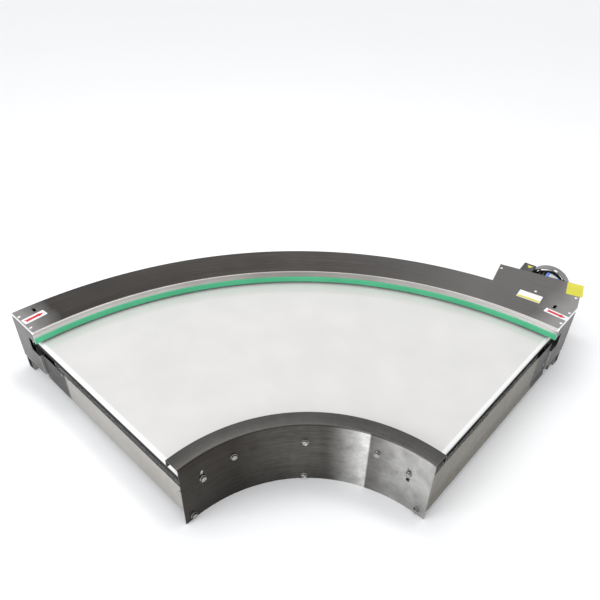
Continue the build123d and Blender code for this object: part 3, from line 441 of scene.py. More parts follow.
def guard_tone_and_painted_light(tree, turn, place, colour):
    """Plain flange, painted shade on the web towards the infeed, and on the web a bright stretch of painted
    reflection beside a grey one, with painted shade along the bend.
    """
    radius, azimuth, _ = turn_parts(tree, turn)
    bend_start = GUARD_RADIUS + GUARD_BEND
    half_bend = GUARD_RADIUS + GUARD_BEND * 0.5
    flange = spread(tree, radius, half_bend, bend_start, new_high=0.65)
    colour = mix_colours(tree, flange, colour, FLANGE_TONE)
    web = spread(tree, radius, bend_start, half_bend)
    # Painted shade on the web towards the infeed
    dim = times(tree, over_azimuths(tree, azimuth, start=-4, end=-26, high=0.7), web)
    colour = mix_colours(tree, dim, colour, WEB_SHADOW)
    # Painted reflection on the web: a bright stretch beside a grey one, broken up by a cloud
    cloud = noise(tree, place, scale=17.0, detail=5.0, roughness=0.65)
    cloud = spread(tree, cloud, 0.36, 0.64, 0.62, 1.15)
    rise = over_azimuths(tree, azimuth, start=6, end=21)
    bright = times(tree, times(tree, rise, rise), over_azimuths(tree, azimuth, REFLECTION_GREY_START, REFLECTION_BRIGHT_END))
    dull = over_azimuths(tree, azimuth, start=24, end=35, low=0.13, high=0.5)
    dull = times(tree, over_azimuths(tree, azimuth, REFLECTION_BRIGHT_END, REFLECTION_GREY_START), dull)
    share = times(tree, times(tree, plus(tree, bright, dull), cloud), web)
    colour = mix_colours(tree, times(tree, share, 0.95), colour, WEB_PAINTED_REFLECTION)
    # Painted shade in a thin line along the bend from web to flange
    line = times(tree, spread(tree, radius, GUARD_RADIUS + 0.0003, GUARD_RADIUS + 0.0012, new_high=0.8),
                 spread(tree, radius, GUARD_RADIUS + GUARD_BEND * 1.2, GUARD_RADIUS + GUARD_BEND * 0.9))
    return mix_colours(tree, line, colour, BEND_PAINTED_SHADE)


def painted_reflection_beyond(reach):
    """Tone of a plate with a painted reflection of the dark channel from a radius outwards."""

    def tone(tree, turn, place, colour):
        radius = turn_parts(tree, turn)[0]
        share = spread(tree, radius, reach - 0.008, reach + 0.008, new_high=0.96)
        return mix_colours(tree, share, colour, CHANNEL_PAINTED_REFLECTION)

    return tone


def brushed_metal(name, dark, light, smooth, rough, round_turn=False, tone=None):
    """Metal with its grain straight or round the turn, and with a tone of its own where it has one, painted
    light and shade included.
    """
    material, tree, shader, place = new_material(name)
    turn = group_node(tree, "turn_coordinates", {"Place": place})
    grain = group_node(tree, "brushed_grain", {
        "Place": turn.outputs["Place Along Turn"] if round_turn else place,
        "Stretch": GRAIN_ROUND_TURN if round_turn else STRAIGHT_GRAIN,
        "Dark": dark, "Light": light, "Smooth": smooth, "Rough": rough})
    colour = grain.outputs["Color"]
    if tone is not None:
        colour = tone(tree, turn, place, colour)
    fill_inputs(tree, shader, {
        "Base Color": colour, "Roughness": grain.outputs["Roughness"], "Metallic": 1.0})
    add_bump(tree, shader, grain.outputs["Height"], 0.00012, 0.6)
    return material


def moulded(name, dark, light, pit_scale, smooth, rough, depth, metallic=0.0, coat=0.0):
    """Plastic, rubber, paint, label or cast metal."""
    material, tree, shader, place = new_material(name)
    surface = group_node(tree, "moulded_surface", {
        "Place": place, "Dark": dark, "Light": light,
        "Pit Scale": pit_scale, "Smooth": smooth, "Rough": rough})
    fill_inputs(tree, shader, {
        "Base Color": surface.outputs["Color"], "Roughness": surface.outputs["Roughness"],
        "Metallic": metallic, "Coat Weight": coat})
    add_bump(tree, shader, surface.outputs["Height"], depth, 0.7)
    return material


def belt_surface(name, dark, light):
    """Glossy belt, with a painted highlight where it bends over the noses and painted shade where it runs
    down into the gap below them.
    """
    material, tree, shader, place = new_material(name)
    turn = group_node(tree, "turn_coordinates", {"Place": place})
    surface = group_node(tree, "moulded_surface", {
        "Place": place, "Dark": dark, "Light": light, "Pit Scale": 500.0, "Smooth": 0.10, "Rough": 0.18})
    along_nose = math_node(tree, "MAXIMUM", plus(tree, turn.outputs["Past Infeed"], INFEED_NOSE_INSET),
                           plus(tree, turn.outputs["Past Discharge"], DISCHARGE_NOSE_INSET))
    # Painted highlight on the belt where it bends over the noses
    on_nose = spread(tree, along_nose, 0.002, 0.007)
    colour = mix_colours(tree, on_nose, surface.outputs["Color"], NOSE_PAINTED_HIGHLIGHT)
    # Painted shade on the belt below its top near the noses, where it runs into the gap
    low = spread(tree, turn_parts(tree, turn)[2], BELT_TOP - 0.0070, BELT_TOP - 0.0095)
    low = times(tree, low, spread(tree, along_nose, -0.01, 0.0))
    colour = mix_colours(tree, low, colour, GAP_PAINTED_SHADE)
    rough = plus(tree, surface.outputs["Roughness"], times(tree, low, 0.7))
    coat = spread(tree, low, 0.0, 1.0, new_low=0.6, new_high=0.0)
    fill_inputs(tree, shader, {"Base Color": colour, "Roughness": rough, "Coat Weight": coat})
    add_bump(tree, shader, surface.outputs["Height"], 0.00002, 0.7)
    return material


def sheet_metals():
    return [
        brushed_metal("brushed_stainless", rgb(0.046, 0.040, 0.036), rgb(0.108, 0.099, 0.090), 0.26, 0.44,
                      round_turn=True, tone=cover_tone_and_painted_light),
        brushed_metal("guard_stainless", rgb(0.040, 0.035, 0.030), rgb(0.130, 0.125, 0.115), 0.24, 0.42,
                      round_turn=True, tone=guard_tone_and_painted_light),
        brushed_metal("plate_stainless", rgb(0.36, 0.35, 0.32), rgb(0.56, 0.54, 0.50), 0.28, 0.45,
                      tone=painted_reflection_beyond(0.925)),
        # Darker copies of the plate steel for the discharge cross plate and the end plates: painted shade
        brushed_metal("plate_shaded", rgb(0.12, 0.11, 0.09), rgb(0.25, 0.235, 0.195), 0.28, 0.45,
                      tone=painted_reflection_beyond(0.965)),
        brushed_metal("end_plate_painted_shade", rgb(0.075, 0.072, 0.068), rgb(0.130, 0.125, 0.118), 0.30, 0.45),
        brushed_metal("end_plate_painted_deep_shade", rgb(0.026, 0.024, 0.020), rgb(0.052, 0.049, 0.043), 0.30, 0.45),
        brushed_metal("bed_steel", grey(0.35), grey(0.50), 0.30, 0.50),
        brushed_metal("plate_silver", rgb(0.55, 0.56, 0.58), rgb(0.75, 0.76, 0.78), 0.20, 0.35),
    ]


def machined_metals():
    return [
        brushed_metal("ground_steel", grey(0.50), grey(0.62), 0.18, 0.30),
        brushed_metal("roller_steel", rgb(0.50, 0.50, 0.52), rgb(0.64, 0.64, 0.65), 0.18, 0.30),
        brushed_metal("fastener_steel", rgb(0.30, 0.30, 0.29), rgb(0.46, 0.46, 0.45), 0.16, 0.30),
        # Lighter copy of the fastener steel for the cover's screws: painted highlight
        brushed_metal("screw_steel_painted_highlight", rgb(0.72, 0.72, 0.71), rgb(0.88, 0.88, 0.87), 0.14, 0.28),
        brushed_metal("block_aluminium", rgb(0.50, 0.50, 0.52), rgb(0.62, 0.63, 0.65), 0.28, 0.42),
        moulded("gearbox_aluminium", rgb(0.32, 0.33, 0.34), rgb(0.45, 0.46, 0.47), 600.0, 0.35, 0.55, 0.0003,
                metallic=0.9),
    ]


def belt_and_plastics():
    return [
        belt_surface("belt_white", rgb(0.60, 0.59, 0.575), rgb(0.64, 0.628, 0.612)),
        moulded("edge_strip_green", rgb(0.068, 0.49, 0.243), rgb(0.099, 0.565, 0.295), 250.0, 0.28, 0.40,
                0.00005),
        moulded("guide_plastic", rgb(0.75, 0.75, 0.70), rgb(0.82, 0.82, 0.78), 300.0, 0.35, 0.50, 0.00005),
        moulded("black_rubber", grey(0.012), grey(0.03), 350.0, 0.50, 0.75, 0.0001),
        moulded("drive_tyre", rgb(0.35, 0.14, 0.04), rgb(0.50, 0.22, 0.07), 300.0, 0.35, 0.50, 0.00008),
        moulded("fan_plastic", grey(0.02), grey(0.04), 300.0, 0.40, 0.60, 0.00008),
        moulded("terminal_plastic", rgb(0.02, 0.021, 0.023), rgb(0.045, 0.047, 0.05), 500.0, 0.35, 0.50,
                0.0001),
        moulded("gland_plastic", grey(0.02), grey(0.04), 300.0, 0.35, 0.50, 0.00008),
    ]


def paints():
    return [
        moulded("motor_paint", rgb(0.012, 0.013, 0.016), rgb(0.03, 0.032, 0.037), 500.0, 0.25, 0.40, 0.00015,
                coat=0.3),
        moulded("fan_cover_paint", rgb(0.10, 0.097, 0.095), rgb(0.15, 0.145, 0.14), 400.0, 0.28, 0.42, 0.0001,
                coat=0.3),
    ]


def labels():
    colours = {
        "label_white": (rgb(0.80, 0.80, 0.82), rgb(0.86, 0.86, 0.87)),
        "label_yellow": (rgb(0.60, 0.55, 0.02), rgb(0.68, 0.63, 0.04)),
        "label_red": (rgb(0.50, 0.006, 0.02), rgb(0.60, 0.012, 0.03)),
        "label_blue": (rgb(0.02, 0.15, 0.60), rgb(0.04, 0.20, 0.68)),
    }
    return [moulded(name, dark, light, 300.0, 0.30, 0.45, 0.00002)
            for name, (dark, light) in colours.items()]


def make_materials():
    make_turn_coordinates()
    make_brushed_grain()
    make_moulded_surface()
    made = sheet_metals() + machined_metals() + belt_and_plastics() + paints() + labels()
    return {material.name: material for material in made}


def dress_cad_nodes():
    """Gives every node of the construction its slot's finish, and three plates darker copies of the plate
    steel of their own, which are painted shade.
    """
    for part in frame["record"]["subparts"]:
        node = frame["nodes"][part["node"]]
        node.data.materials.clear()
        node.data.materials.append(materials[part["material_slot"]])
    own = {
        "discharge_cross_plate": "plate_shaded",
        "infeed_end_plate": "end_plate_painted_shade",
        "discharge_end_plate": "end_plate_painted_deep_shade",
    }
    for name, finish in own.items():
        frame["nodes"][name].data.materials[0] = materials[finish]


# Modelling tools

def leave_nothing_selected():
    if bpy.context.object is not None and bpy.context.object.mode == "EDIT":
        bpy.ops.object.mode_set(mode="OBJECT")
    bpy.ops.object.select_all(action="DESELECT")


def take(piece):
    """Makes a piece the only one selected, and the one that operators work on."""
    leave_nothing_selected()
    piece.select_set(True)
    bpy.context.view_layer.objects.active = piece


def start_edit(piece, kind="VERT", everything=False):
    take(piece)
    bpy.ops.object.mode_set(mode="EDIT")
    bpy.ops.mesh.select_mode(type=kind)
    bpy.ops.mesh.select_all(action="SELECT" if everything else "DESELECT")


def end_edit():
    bpy.ops.object.mode_set(mode="OBJECT")


def pick(piece, kind, test):
    """In edit mode, selects the vertices, edges or faces that pass a test of their places."""
    bpy.ops.mesh.select_all(action="DESELECT")
    mesh = bmesh.from_edit_mesh(piece.data)
    if kind == "VERT":
        for vertex in mesh.verts:
            vertex.select_set(test(vertex.co))
    elif kind == "EDGE":
        for edge in mesh.edges:
            edge.select_set(test(edge.verts[0].co, edge.verts[1].co))
    else:
        for face in mesh.faces:
            face.select_set(test(face.calc_center_median(), face.normal))
    mesh.select_flush_mode()
    bmesh.update_edit_mesh(piece.data)


def extrude_by(vector):
    bpy.ops.mesh.extrude_region_move(TRANSFORM_OT_translate={"value": vector})


def apply_modifier(piece, kind, **settings):
    take(piece)
    modifier = piece.modifiers.new("step", kind)
    for key, value in settings.items():
        setattr(modifier, key, value)
    bpy.ops.object.modifier_apply(modifier=modifier.name)


def smooth_by_angle(piece, degrees):
    take(piece)
    bpy.ops.object.shade_smooth_by_angle(angle=math.radians(degrees))


def settle(piece):
    """Puts a piece's place, turn and scale into its mesh."""
    take(piece)
    bpy.ops.object.transform_apply(location=True, rotation=True, scale=True)


def join(pieces):
    leave_nothing_selected()
    for piece in pieces:
        piece.select_set(True)
    bpy.context.view_layer.objects.active = pieces[0]
    if len(pieces) > 1:
        bpy.ops.object.join()
    return bpy.context.object


def finish_piece(piece, name, slot, stands_for=(), material=None):
    """Names a piece, attaches it to the frame body, gives it the finish of its material or else of its slot,
    and hides the nodes that it stands for.
    """
    piece.name = name
    piece.data.name = name
    piece.data.materials.clear()
    piece.data.materials.append(materials[material or slot])
    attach(piece, "frame")
    if stands_for:
        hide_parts(*stands_for)


def facing(spot, outward, upward):
    """Matrix of a frame at a spot: z points outward and y as far as it can upward."""
    z = Vector(outward).normalized()
    x = Vector(upward).cross(z).normalized()
    y = z.cross(x)
    turn = Matrix((x, y, z)).transposed().to_4x4()
    return Matrix.Translation(Vector(spot)) @ turn


def put(piece, matrix):
    piece.data.transform(matrix)
    return piece


def copies_at(model, matrices):
    """One piece made of copies of a model, which is then taken away."""
    pieces = []
    for matrix in matrices:
        piece = model.copy()
        piece.data = model.data.copy()
        bpy.context.scene.collection.objects.link(piece)
        pieces.append(put(piece, matrix))
    bpy.data.objects.remove(model)
    return join(pieces)


def add_cylinder(radius, low, high, sides):
    """Upright cylinder on the z axis, between two heights."""
    leave_nothing_selected()
    bpy.ops.mesh.primitive_cylinder_add(vertices=sides, radius=radius, depth=high - low,
                                        location=(0, 0, (low + high) / 2))
    settle(bpy.context.object)
    return bpy.context.object


def bevel_edges(piece, test, width, segments):
    start_edit(piece, "EDGE")
    pick(piece, "EDGE", test)
    bpy.ops.mesh.bevel(offset=width, segments=segments, affect="EDGES")
    end_edit()


def draw_line(points):
    """Wire through the points, begun as a plane merged into its middle."""
    leave_nothing_selected()
    bpy.ops.mesh.primitive_plane_add(size=0.01, location=points[0])
    piece = bpy.context.object
    settle(piece)
    start_edit(piece, everything=True)
    bpy.ops.mesh.merge(type="CENTER")
    for here, there in zip(points, points[1:]):
        extrude_by(Vector(there) - Vector(here))
    end_edit()
    return piece


def merge_points(piece):
    start_edit(piece, everything=True)
    bpy.ops.mesh.remove_doubles(threshold=MERGE_DISTANCE)
    end_edit()
    return piece


def face_outward(piece):
    start_edit(piece, "FACE", everything=True)
    bpy.ops.mesh.normals_make_consistent(inside=False)
    end_edit()
    return piece


def draw_plate(points, thickness):
    """Flat piece with an outline of (x, y) points, which stands on z = 0."""
    piece = merge_points(draw_line([(x, y, 0) for x, y in (*points, points[0])]))
    start_edit(piece, everything=True)
    bpy.ops.mesh.edge_face_add()
    extrude_by((0, 0, thickness))
    end_edit()
    return face_outward(piece)


def arc(centre_x, centre_y, radius, start, end, steps):
    """Points of an arc, from one angle to another in degrees."""
    angles = [math.radians(start + (end - start) * index / steps) for index in range(steps + 1)]
    return [(centre_x + radius * math.cos(angle), centre_y + radius * math.sin(angle)) for angle in angles]


def slot_outline(length, width, steps=8):
    """Outline of a slot that runs along y."""
    reach = (length - width) / 2
    return arc(0, reach, width / 2, 0, 180, steps) + arc(0, -reach, width / 2, 180, 360, steps)


def hole_outline(radius, sides=24):
    return arc(0, 0, radius, 0, 360 - 360 / sides, sides - 1)


def rectangle(left, right, low, high):
    return [(left, low), (right, low), (right, high), (left, high)]


def rounded_outline(length, height, radius, steps=5):
    x, y = length / 2 - radius, height / 2 - radius
    return (arc(x, y, radius, 0, 90, steps) + arc(-x, y, radius, 90, 180, steps)
            + arc(-x, -y, radius, 180, 270, steps) + arc(x, -y, radius, 270, 360, steps))


def spun(profile, steps):
    """Surface of a line of (radius, height) points turned about the z axis."""
    piece = draw_line([(radius, 0, height) for radius, height in profile])
    start_edit(piece, everything=True)
    bpy.ops.mesh.spin(steps=steps, angle=math.radians(360), center=(0, 0, 0), axis=UP)
    end_edit()
    return face_outward(merge_points(piece))


def past_infeed(spot):
    """How far a place lies past the infeed's radial line."""
    return (Vector(spot) - TURN_CENTRE).dot(-tangent(-HALF_TURN))


def carried_round(profile, spans, closed=False):
    """Surface of a line of (radius, height) points carried round the turn, with straight ends."""
    points = [at_turn(-HALF_TURN, radius, height) for radius, height in profile]
    piece = draw_line(points + points[:1] if closed else points)
    if closed:
        merge_points(piece)
    start_edit(piece, "EDGE", everything=True)
    for span, steps in spans:
        bpy.ops.mesh.spin(steps=steps, angle=math.radians(span), center=TURN_CENTRE, axis=UP)
    extrude_by(tangent(HALF_TURN) * END_STRAIGHT)
    if closed:
        bpy.ops.mesh.edge_face_add()

    def at_start(a, b):
        return abs(past_infeed(a)) < TOUCHING and abs(past_infeed(b)) < TOUCHING

    pick(piece, "EDGE", at_start)
    extrude_by(tangent(-HALF_TURN) * -END_STRAIGHT)
    if closed:
        bpy.ops.mesh.edge_face_add()
    end_edit()
    return piece


def face_up(piece):
    """Makes the faces of an open sheet agree, with its top looking up."""
    start_edit(piece, "FACE", everything=True)
    bpy.ops.mesh.normals_make_consistent(inside=False)
    faces = bmesh.from_edit_mesh(piece.data).faces
    top = max(faces, key=lambda face: face.calc_center_median().z + abs(face.normal.z))
    if top.normal.z < 0:
        bpy.ops.mesh.flip_normals()
    end_edit()


def cut(piece, cutters):
    """Takes the shapes of the cutters out of a piece."""
    tool = join(cutters)
    apply_modifier(piece, "BOOLEAN", operation="DIFFERENCE", solver="EXACT", object=tool)
    bpy.data.objects.remove(tool)


# Sheets with rounded bends

CUTTER_LENGTH = 0.020


def extension_corner(along, across):
    """Point of the extension plate, from the end of the cover's outer edge at the discharge."""
    start = at_end(DISCHARGE, OUTER_RADIUS, END_STRAIGHT, COVER_TOP)
    return start + direction(EXTENSION_AZIMUTH) * along - tangent(EXTENSION_AZIMUTH) * across


def extension_meets_ring():
    """Place on the ring's outer edge where the extension's left side starts."""
    start = extension_corner(0, EXTENSION_WIDTH) - TURN_CENTRE
    start.z = 0
    way = start.dot(direction(EXTENSION_AZIMUTH))
    along = -way + math.sqrt(way ** 2 - start.length ** 2 + OUTER_RADIUS ** 2)
    return extension_corner(along, EXTENSION_WIDTH)


def azimuth_of(spot):
    return math.degrees(math.atan2(spot.x - TURN_CENTRE.x, spot.y - TURN_CENTRE.y))


def add_extension(cover, meet):
    """Draws the extension plate's outline from the ring's outer edge and back to it, and fills it."""
    corners = [extension_corner(0, 0), extension_corner(EXTENSION_LENGTH, 0),
               extension_corner(EXTENSION_LENGTH, EXTENSION_WIDTH), meet]
    start_edit(cover)
    pick(cover, "VERT", lambda spot: (spot - corners[0]).length < NEAR)
    for here, there in zip(corners, corners[1:]):
        extrude_by(there - here)
    bpy.ops.mesh.select_all(action="SELECT")
    bpy.ops.mesh.remove_doubles(threshold=SEAM_DISTANCE)

    def round_extension(spot):
        beyond = (spot - TURN_CENTRE).xy.length - OUTER_RADIUS
        past_meet = azimuth_of(spot) > azimuth_of(meet) - AZIMUTH_MARGIN
        return beyond > CLEAR_OF_RING or (beyond > -TOUCHING and past_meet)

    pick(cover, "VERT", round_extension)
    bpy.ops.mesh.edge_face_add()
    end_edit()


def upright_cutter(outline, spot, turn_to=(0, 1, 0)):
    """Cutter through the cover at a spot, its y axis turned to a direction."""
    start = Vector(spot) - Vector((0, 0, CUTTER_LENGTH * 0.6))
    return put(draw_plate(outline, CUTTER_LENGTH), facing(start, UP, turn_to))


def model_top_cover():
    """Cover with a rounded inner edge and lip, its extension plate, screw holes and oval slots."""
    meet = extension_meets_ring()
    bend = arc(LIP_RADIUS + COVER_BEND, COVER_TOP - COVER_BEND, COVER_BEND, 90, 180, steps=8)
    profile = [(OUTER_RADIUS, COVER_TOP), *bend, (LIP_RADIUS, LIP_LOW)]
    spans = ((azimuth_of(meet) + HALF_TURN, ARC_STEPS), (HALF_TURN - azimuth_of(meet), SHORT_ARC_STEPS))
    cover = carried_round(profile, spans)
    add_extension(cover, meet)
    face_up(cover)
    apply_modifier(cover, "SOLIDIFY", thickness=SHEET, offset=-1.0)
    cutters = [upright_cutter(hole_outline(COVER_HOLE_RADIUS), on_cover(x, y)) for x, y in COVER_SCREWS]
    for azimuth in (-COVER_SLOT_AZIMUTH, COVER_SLOT_AZIMUTH):
        spot = at_turn(azimuth, COVER_SLOT_RADIUS, COVER_TOP)
        outline = slot_outline(COVER_SLOT_LENGTH, SLOT_WIDTH)
        cutters.append(upright_cutter(outline, spot, direction(azimuth)))
    cut(cover, cutters)
    smooth_by_angle(cover, 30.0)
    finish_piece(cover, "cover_sheet", "brushed_stainless", stands_for=("top_cover",))


def radial_cutter(outline, azimuth, height):
    """Cutter through the guard, along the line from the centre of the turn."""
    start = at_turn(azimuth, GUARD_RADIUS - CUTTER_LENGTH / 2, height)
    return put(draw_plate(outline, CUTTER_LENGTH), facing(start, direction(azimuth), UP))


def model_inner_guard():
    """Guard with rounded bends, bolt holes and upright slots."""
    inner, outer = GUARD_RADIUS, GUARD_RADIUS + GUARD_FLANGE
    profile = [(inner, 0.0)]
    profile += arc(inner + GUARD_BEND, GUARD_TOP - GUARD_BEND, GUARD_BEND, 180, 90, steps=6)
    profile += arc(outer - GUARD_BEND, GUARD_TOP - GUARD_BEND, GUARD_BEND, 90, 0, steps=6)
    profile += [(outer, GUARD_TOP - GUARD_LIP)]
    guard = carried_round(profile, WHOLE_TURN)
    face_up(guard)
    apply_modifier(guard, "SOLIDIFY", thickness=SHEET, offset=-1.0)
    cutters = [radial_cutter(hole_outline(GUARD_HOLE_RADIUS), *spot) for spot in UPPER_BOLTS + LOWER_BOLTS]
    cutters += [radial_cutter(slot_outline(GUARD_SLOT_LENGTH, SLOT_WIDTH), *spot) for spot in SLOT_BOLTS]
    cut(guard, cutters)
    smooth_by_angle(guard, 30.0)
    finish_piece(guard, "guard_sheet", "guard_stainless", stands_for=("inner_guard",))


def model_edge_strip():
    """Green clip-on strip with rounded front edges and a fine groove near its top."""
    front, back = LIP_RADIUS - STRIP_PROUD, LIP_RADIUS
    low, high = LIP_LOW - STRIP_BELOW_LIP, LIP_LOW + STRIP_UP_LIP
    groove = high - GROOVE_BELOW_TOP
    profile = [(back, high)]
    profile += arc(front + STRIP_EDGE, high - STRIP_EDGE, STRIP_EDGE, 90, 180, steps=4)
    profile += [(front, groove + GROOVE_HALF_WIDTH), (front + GROOVE_DEPTH, groove),
                (front, groove - GROOVE_HALF_WIDTH)]
    profile += arc(front + STRIP_EDGE, low + STRIP_EDGE, STRIP_EDGE, 180, 270, steps=4)
    profile += [(back + SHEET, low), (back + SHEET, LIP_LOW), (back, LIP_LOW)]
    strip = carried_round(profile, WHOLE_TURN, closed=True)
    face_outward(strip)
    smooth_by_angle(strip, 40.0)
    finish_piece(strip, "edge_strip", "edge_strip_green", stands_for=("green_edge_strip",))


# Fasteners

# Screws of the cross plates and of the end plates, each at a radius and a height
CROSS_PLATE_SCREWS = {
    INFEED: ((0.945, 0.1115), (0.911, 0.116), (0.402, 0.105), (1.047, 0.040)),
    DISCHARGE: ((0.957, 0.090), (0.910, 0.101), (0.402, 0.118), (1.047, 0.070)),
}
CROSS_PLATE_FACE = {INFEED: 0.012, DISCHARGE: 0.014}
END_PLATE_SCREWS = ((1.115, 0.126), (1.185, 0.062))

# The cover's screws are turned by this angle for each metre of x, which scatters their sockets.
SCATTER = 1000


def above(height):
    """Test for edges that lie above a height."""
    return lambda a, b: min(a.z, b.z) > height


def model_screw(diameter, height, socket, edge=0.75, edge_steps=5, socket_floor=0.35):
    """Screw head with a hexagon socket, on z = 0. Edge and socket floor are shares of its height."""
    head = add_cylinder(diameter / 2, 0, height, sides=28)
    bevel_edges(head, above(height * 0.9), height * edge, edge_steps)
    cut(head, [add_cylinder(socket / math.sqrt(3), height * socket_floor, height * 2, sides=6)])
    smooth_by_angle(head, 40.0)
    return head


def model_hex_bolt(width, height, washer, thickness):
    """Hexagon head with a chamfered, dished top on a flat washer, which stands on z = 0."""
    ring = add_cylinder(washer / 2, 0, thickness, sides=36)
    bevel_edges(ring, above(thickness * 0.9), thickness / 5, 1)
    top = thickness + height
    head = add_cylinder(width / math.sqrt(3), thickness, top, sides=6)
    bevel_edges(head, above(top * 0.99), height / 6, 2)
    start_edit(head, "FACE")
    pick(head, "FACE", lambda middle, normal: normal.z > 0.99 and middle.z > top * 0.99)
    bpy.ops.mesh.inset(thickness=width / 7)
    bpy.ops.mesh.inset(thickness=width / 30, depth=-height / 8)
    end_edit()
    bolt = join([ring, head])
    smooth_by_angle(bolt, 25.0)
    return bolt


def add_guard_bolts():
    """Bolts of the upper row, the slots and the lower row."""
    rows = (
        ("guard_bolts_upper", "upper_guard_bolts", UPPER_BOLTS),
        ("guard_bolts_slots", "slot_bolts", SLOT_BOLTS),
        ("guard_bolts_lower", "lower_guard_bolts", LOWER_BOLTS),
    )
    for name, node, spots in rows:
        model = model_hex_bolt(width=0.013, height=0.0053, washer=0.017, thickness=0.0016)
        frames = [facing(at_turn(azimuth, GUARD_RADIUS, height), -direction(azimuth), UP)
                  for azimuth, height in spots]
        finish_piece(copies_at(model, frames), name, "fastener_steel", stands_for=(node,))


def add_cover_screws():
    """Screws of the cover, each with its socket at an angle of its own."""
    model = model_screw(diameter=0.0095, height=0.0028, socket=0.003)
    frames = [Matrix.Translation(on_cover(x, y)) @ Matrix.Rotation(x * SCATTER, 4, "Z")
              for x, y in COVER_SCREWS]
    # The cover's screws take the lighter copy of the fastener steel, a painted highlight
    finish_piece(copies_at(model, frames), "cover_button_screws", "fastener_steel",
                 stands_for=("cover_screws",), material="screw_steel_painted_highlight")


def add_plate_screws():
    """Small screws in the cross plates and the end plates."""
    frames = []
    for side in (INFEED, DISCHARGE):
        outward = tangent(side * HALF_TURN) * side
        rows = ((CROSS_PLATE_FACE[side], CROSS_PLATE_SCREWS[side]), (END_STRAIGHT, END_PLATE_SCREWS))
        for out, spots in rows:
            for radius, height in spots:
                frames.append(facing(at_end(side, radius, out, height), outward, UP))
    model = model_screw(diameter=0.0066, height=0.0018, socket=0.002)
    finish_piece(copies_at(model, frames), "plate_screws", "fastener_steel")


# Stickers

# Three corners of each sticker on the cover, from the centre of the turn
WHITE_LABEL = ((0.7258, 0.9508), (0.7833, 0.9067), (0.7573, 0.8719))
YELLOW_STICKER = ((0.9055, 0.9908), (0.9492, 0.9673), (0.9074, 0.9040))
ARROW_LABELS = {
    "discharge": ((0.7718, 0.8499), (0.8205, 0.7984), (0.8049, 0.7811)),
    "infeed": ((-0.8182, 0.7999), (-0.7729, 0.8527), (-0.7528, 0.8339)),
}

# Outline of an arrow and sides of a band from their sticker's middle, and what all stickers share
LABEL_BAND = (-0.0345, 0.0345, -0.0195, -0.0095)
ARROW = ((-0.0290, -0.0078), (-0.0250, 0.0), (-0.0290, 0.0078), (-0.0215, 0.0054), (0.0110, 0.0054),
         (0.0125, 0.0084), (0.0295, 0.0), (0.0125, -0.0084), (0.0110, -0.0054), (-0.0215, -0.0054))
STICKER = 0.0003
STICKER_CORNER = 0.0015


def sticker_frame(first, second, third):
    """Frame of a sticker on the cover from three corners, with its length and height."""
    a, b, c = (Vector(corner) for corner in (first, second, third))
    middle = (a + c) / 2
    along = (b - a).normalized()
    across = Vector(UP).cross(Vector((along.x, along.y, 0)))
    return facing(on_cover(middle.x, middle.y), UP, across), (b - a).length, (c - b).length


def add_sticker(name, corners, material, rise=0.0, outline=None):
    """Thin plate with rounded corners, or with an outline of its own."""
    matrix, length, height = sticker_frame(*corners)
    plate = draw_plate(outline or rounded_outline(length, height, STICKER_CORNER), STICKER)
    put(plate, matrix @ Matrix.Translation((0, 0, rise)))
    finish_piece(plate, name, "terminal_plastic", material=material)


def add_stickers():
    add_sticker("white_label", WHITE_LABEL, "label_white")
    add_sticker("label_band", WHITE_LABEL, "label_yellow", STICKER, rectangle(*LABEL_BAND))
    add_sticker("yellow_sticker", YELLOW_STICKER, "label_yellow")
    for name, corners in ARROW_LABELS.items():
        add_sticker(f"{name}_arrow_label", corners, "label_white")
        add_sticker(f"{name}_arrow", corners, "label_red", STICKER, ARROW)


# Motor trim

# The motor's axis is radial. Places along it are given from the centre of the turn.
MOTOR_AZIMUTH = 39.25
MOTOR_HEIGHT = 0.1197
FLANGE_FACE = 1.222
FLANGE_SCREW_RADIUS = 0.0635
FIN_TIP_RADIUS = 0.066

# Fan cover, a cap with a grille
CAP_START = 1.392
CAP_RADIUS = 0.074
CAP_DEPTH = 0.042
CAP_CORNER = 0.0145
CAP_WALL = 0.0016
GRILLE_RADIUS = 0.0575
GRILLE_RINGS = (0.021, 0.030, 0.039, 0.048)
GRILLE_WIRE = 0.0011
GRILLE_SINK = 0.0012
SPOKE_SIDES = (0.012, 0.0585, -0.0012, 0.0012)
SPOKE_SINK = 0.0019
SPOKE_COUNT = 8
GRILLE_HUB_RADIUS = 0.0135
GRILLE_HUB_THICKNESS = 0.0021
GRILLE_HUB_EDGE = 0.0008

# Terminal box: its lid's middle beside and above the motor's axis, and the reach to the lid's screws
LID_ALONG = 1.353
LID_MIDDLE = (0.088, 0.038, 0)
LID_SCREW_REACH = (0.031, 0.030)
BOX_STICKER_ALONG = 1.366
BOX_STICKER_PLACE = (0.064, 0.074, 0)
BOX_STICKER = ((-0.010, -0.008), (0.010, -0.008), (0.0, 0.010))


def turned(degrees, axis):
    return Matrix.Rotation(math.radians(degrees), 4, axis)


def motor_frame(along):
    """Frame on the motor's axis: z points outward, y up and x to the motor's left."""
    return facing(at_turn(MOTOR_AZIMUTH, along, MOTOR_HEIGHT), direction(MOTOR_AZIMUTH), UP)


def corner_frames(radius, along=0.0):
    """Four frames round the motor's axis whose z points along it."""
    return [turned(angle, "Z") @ Matrix.Translation((radius, 0, along)) for angle in (45, 135, 225, 315)]


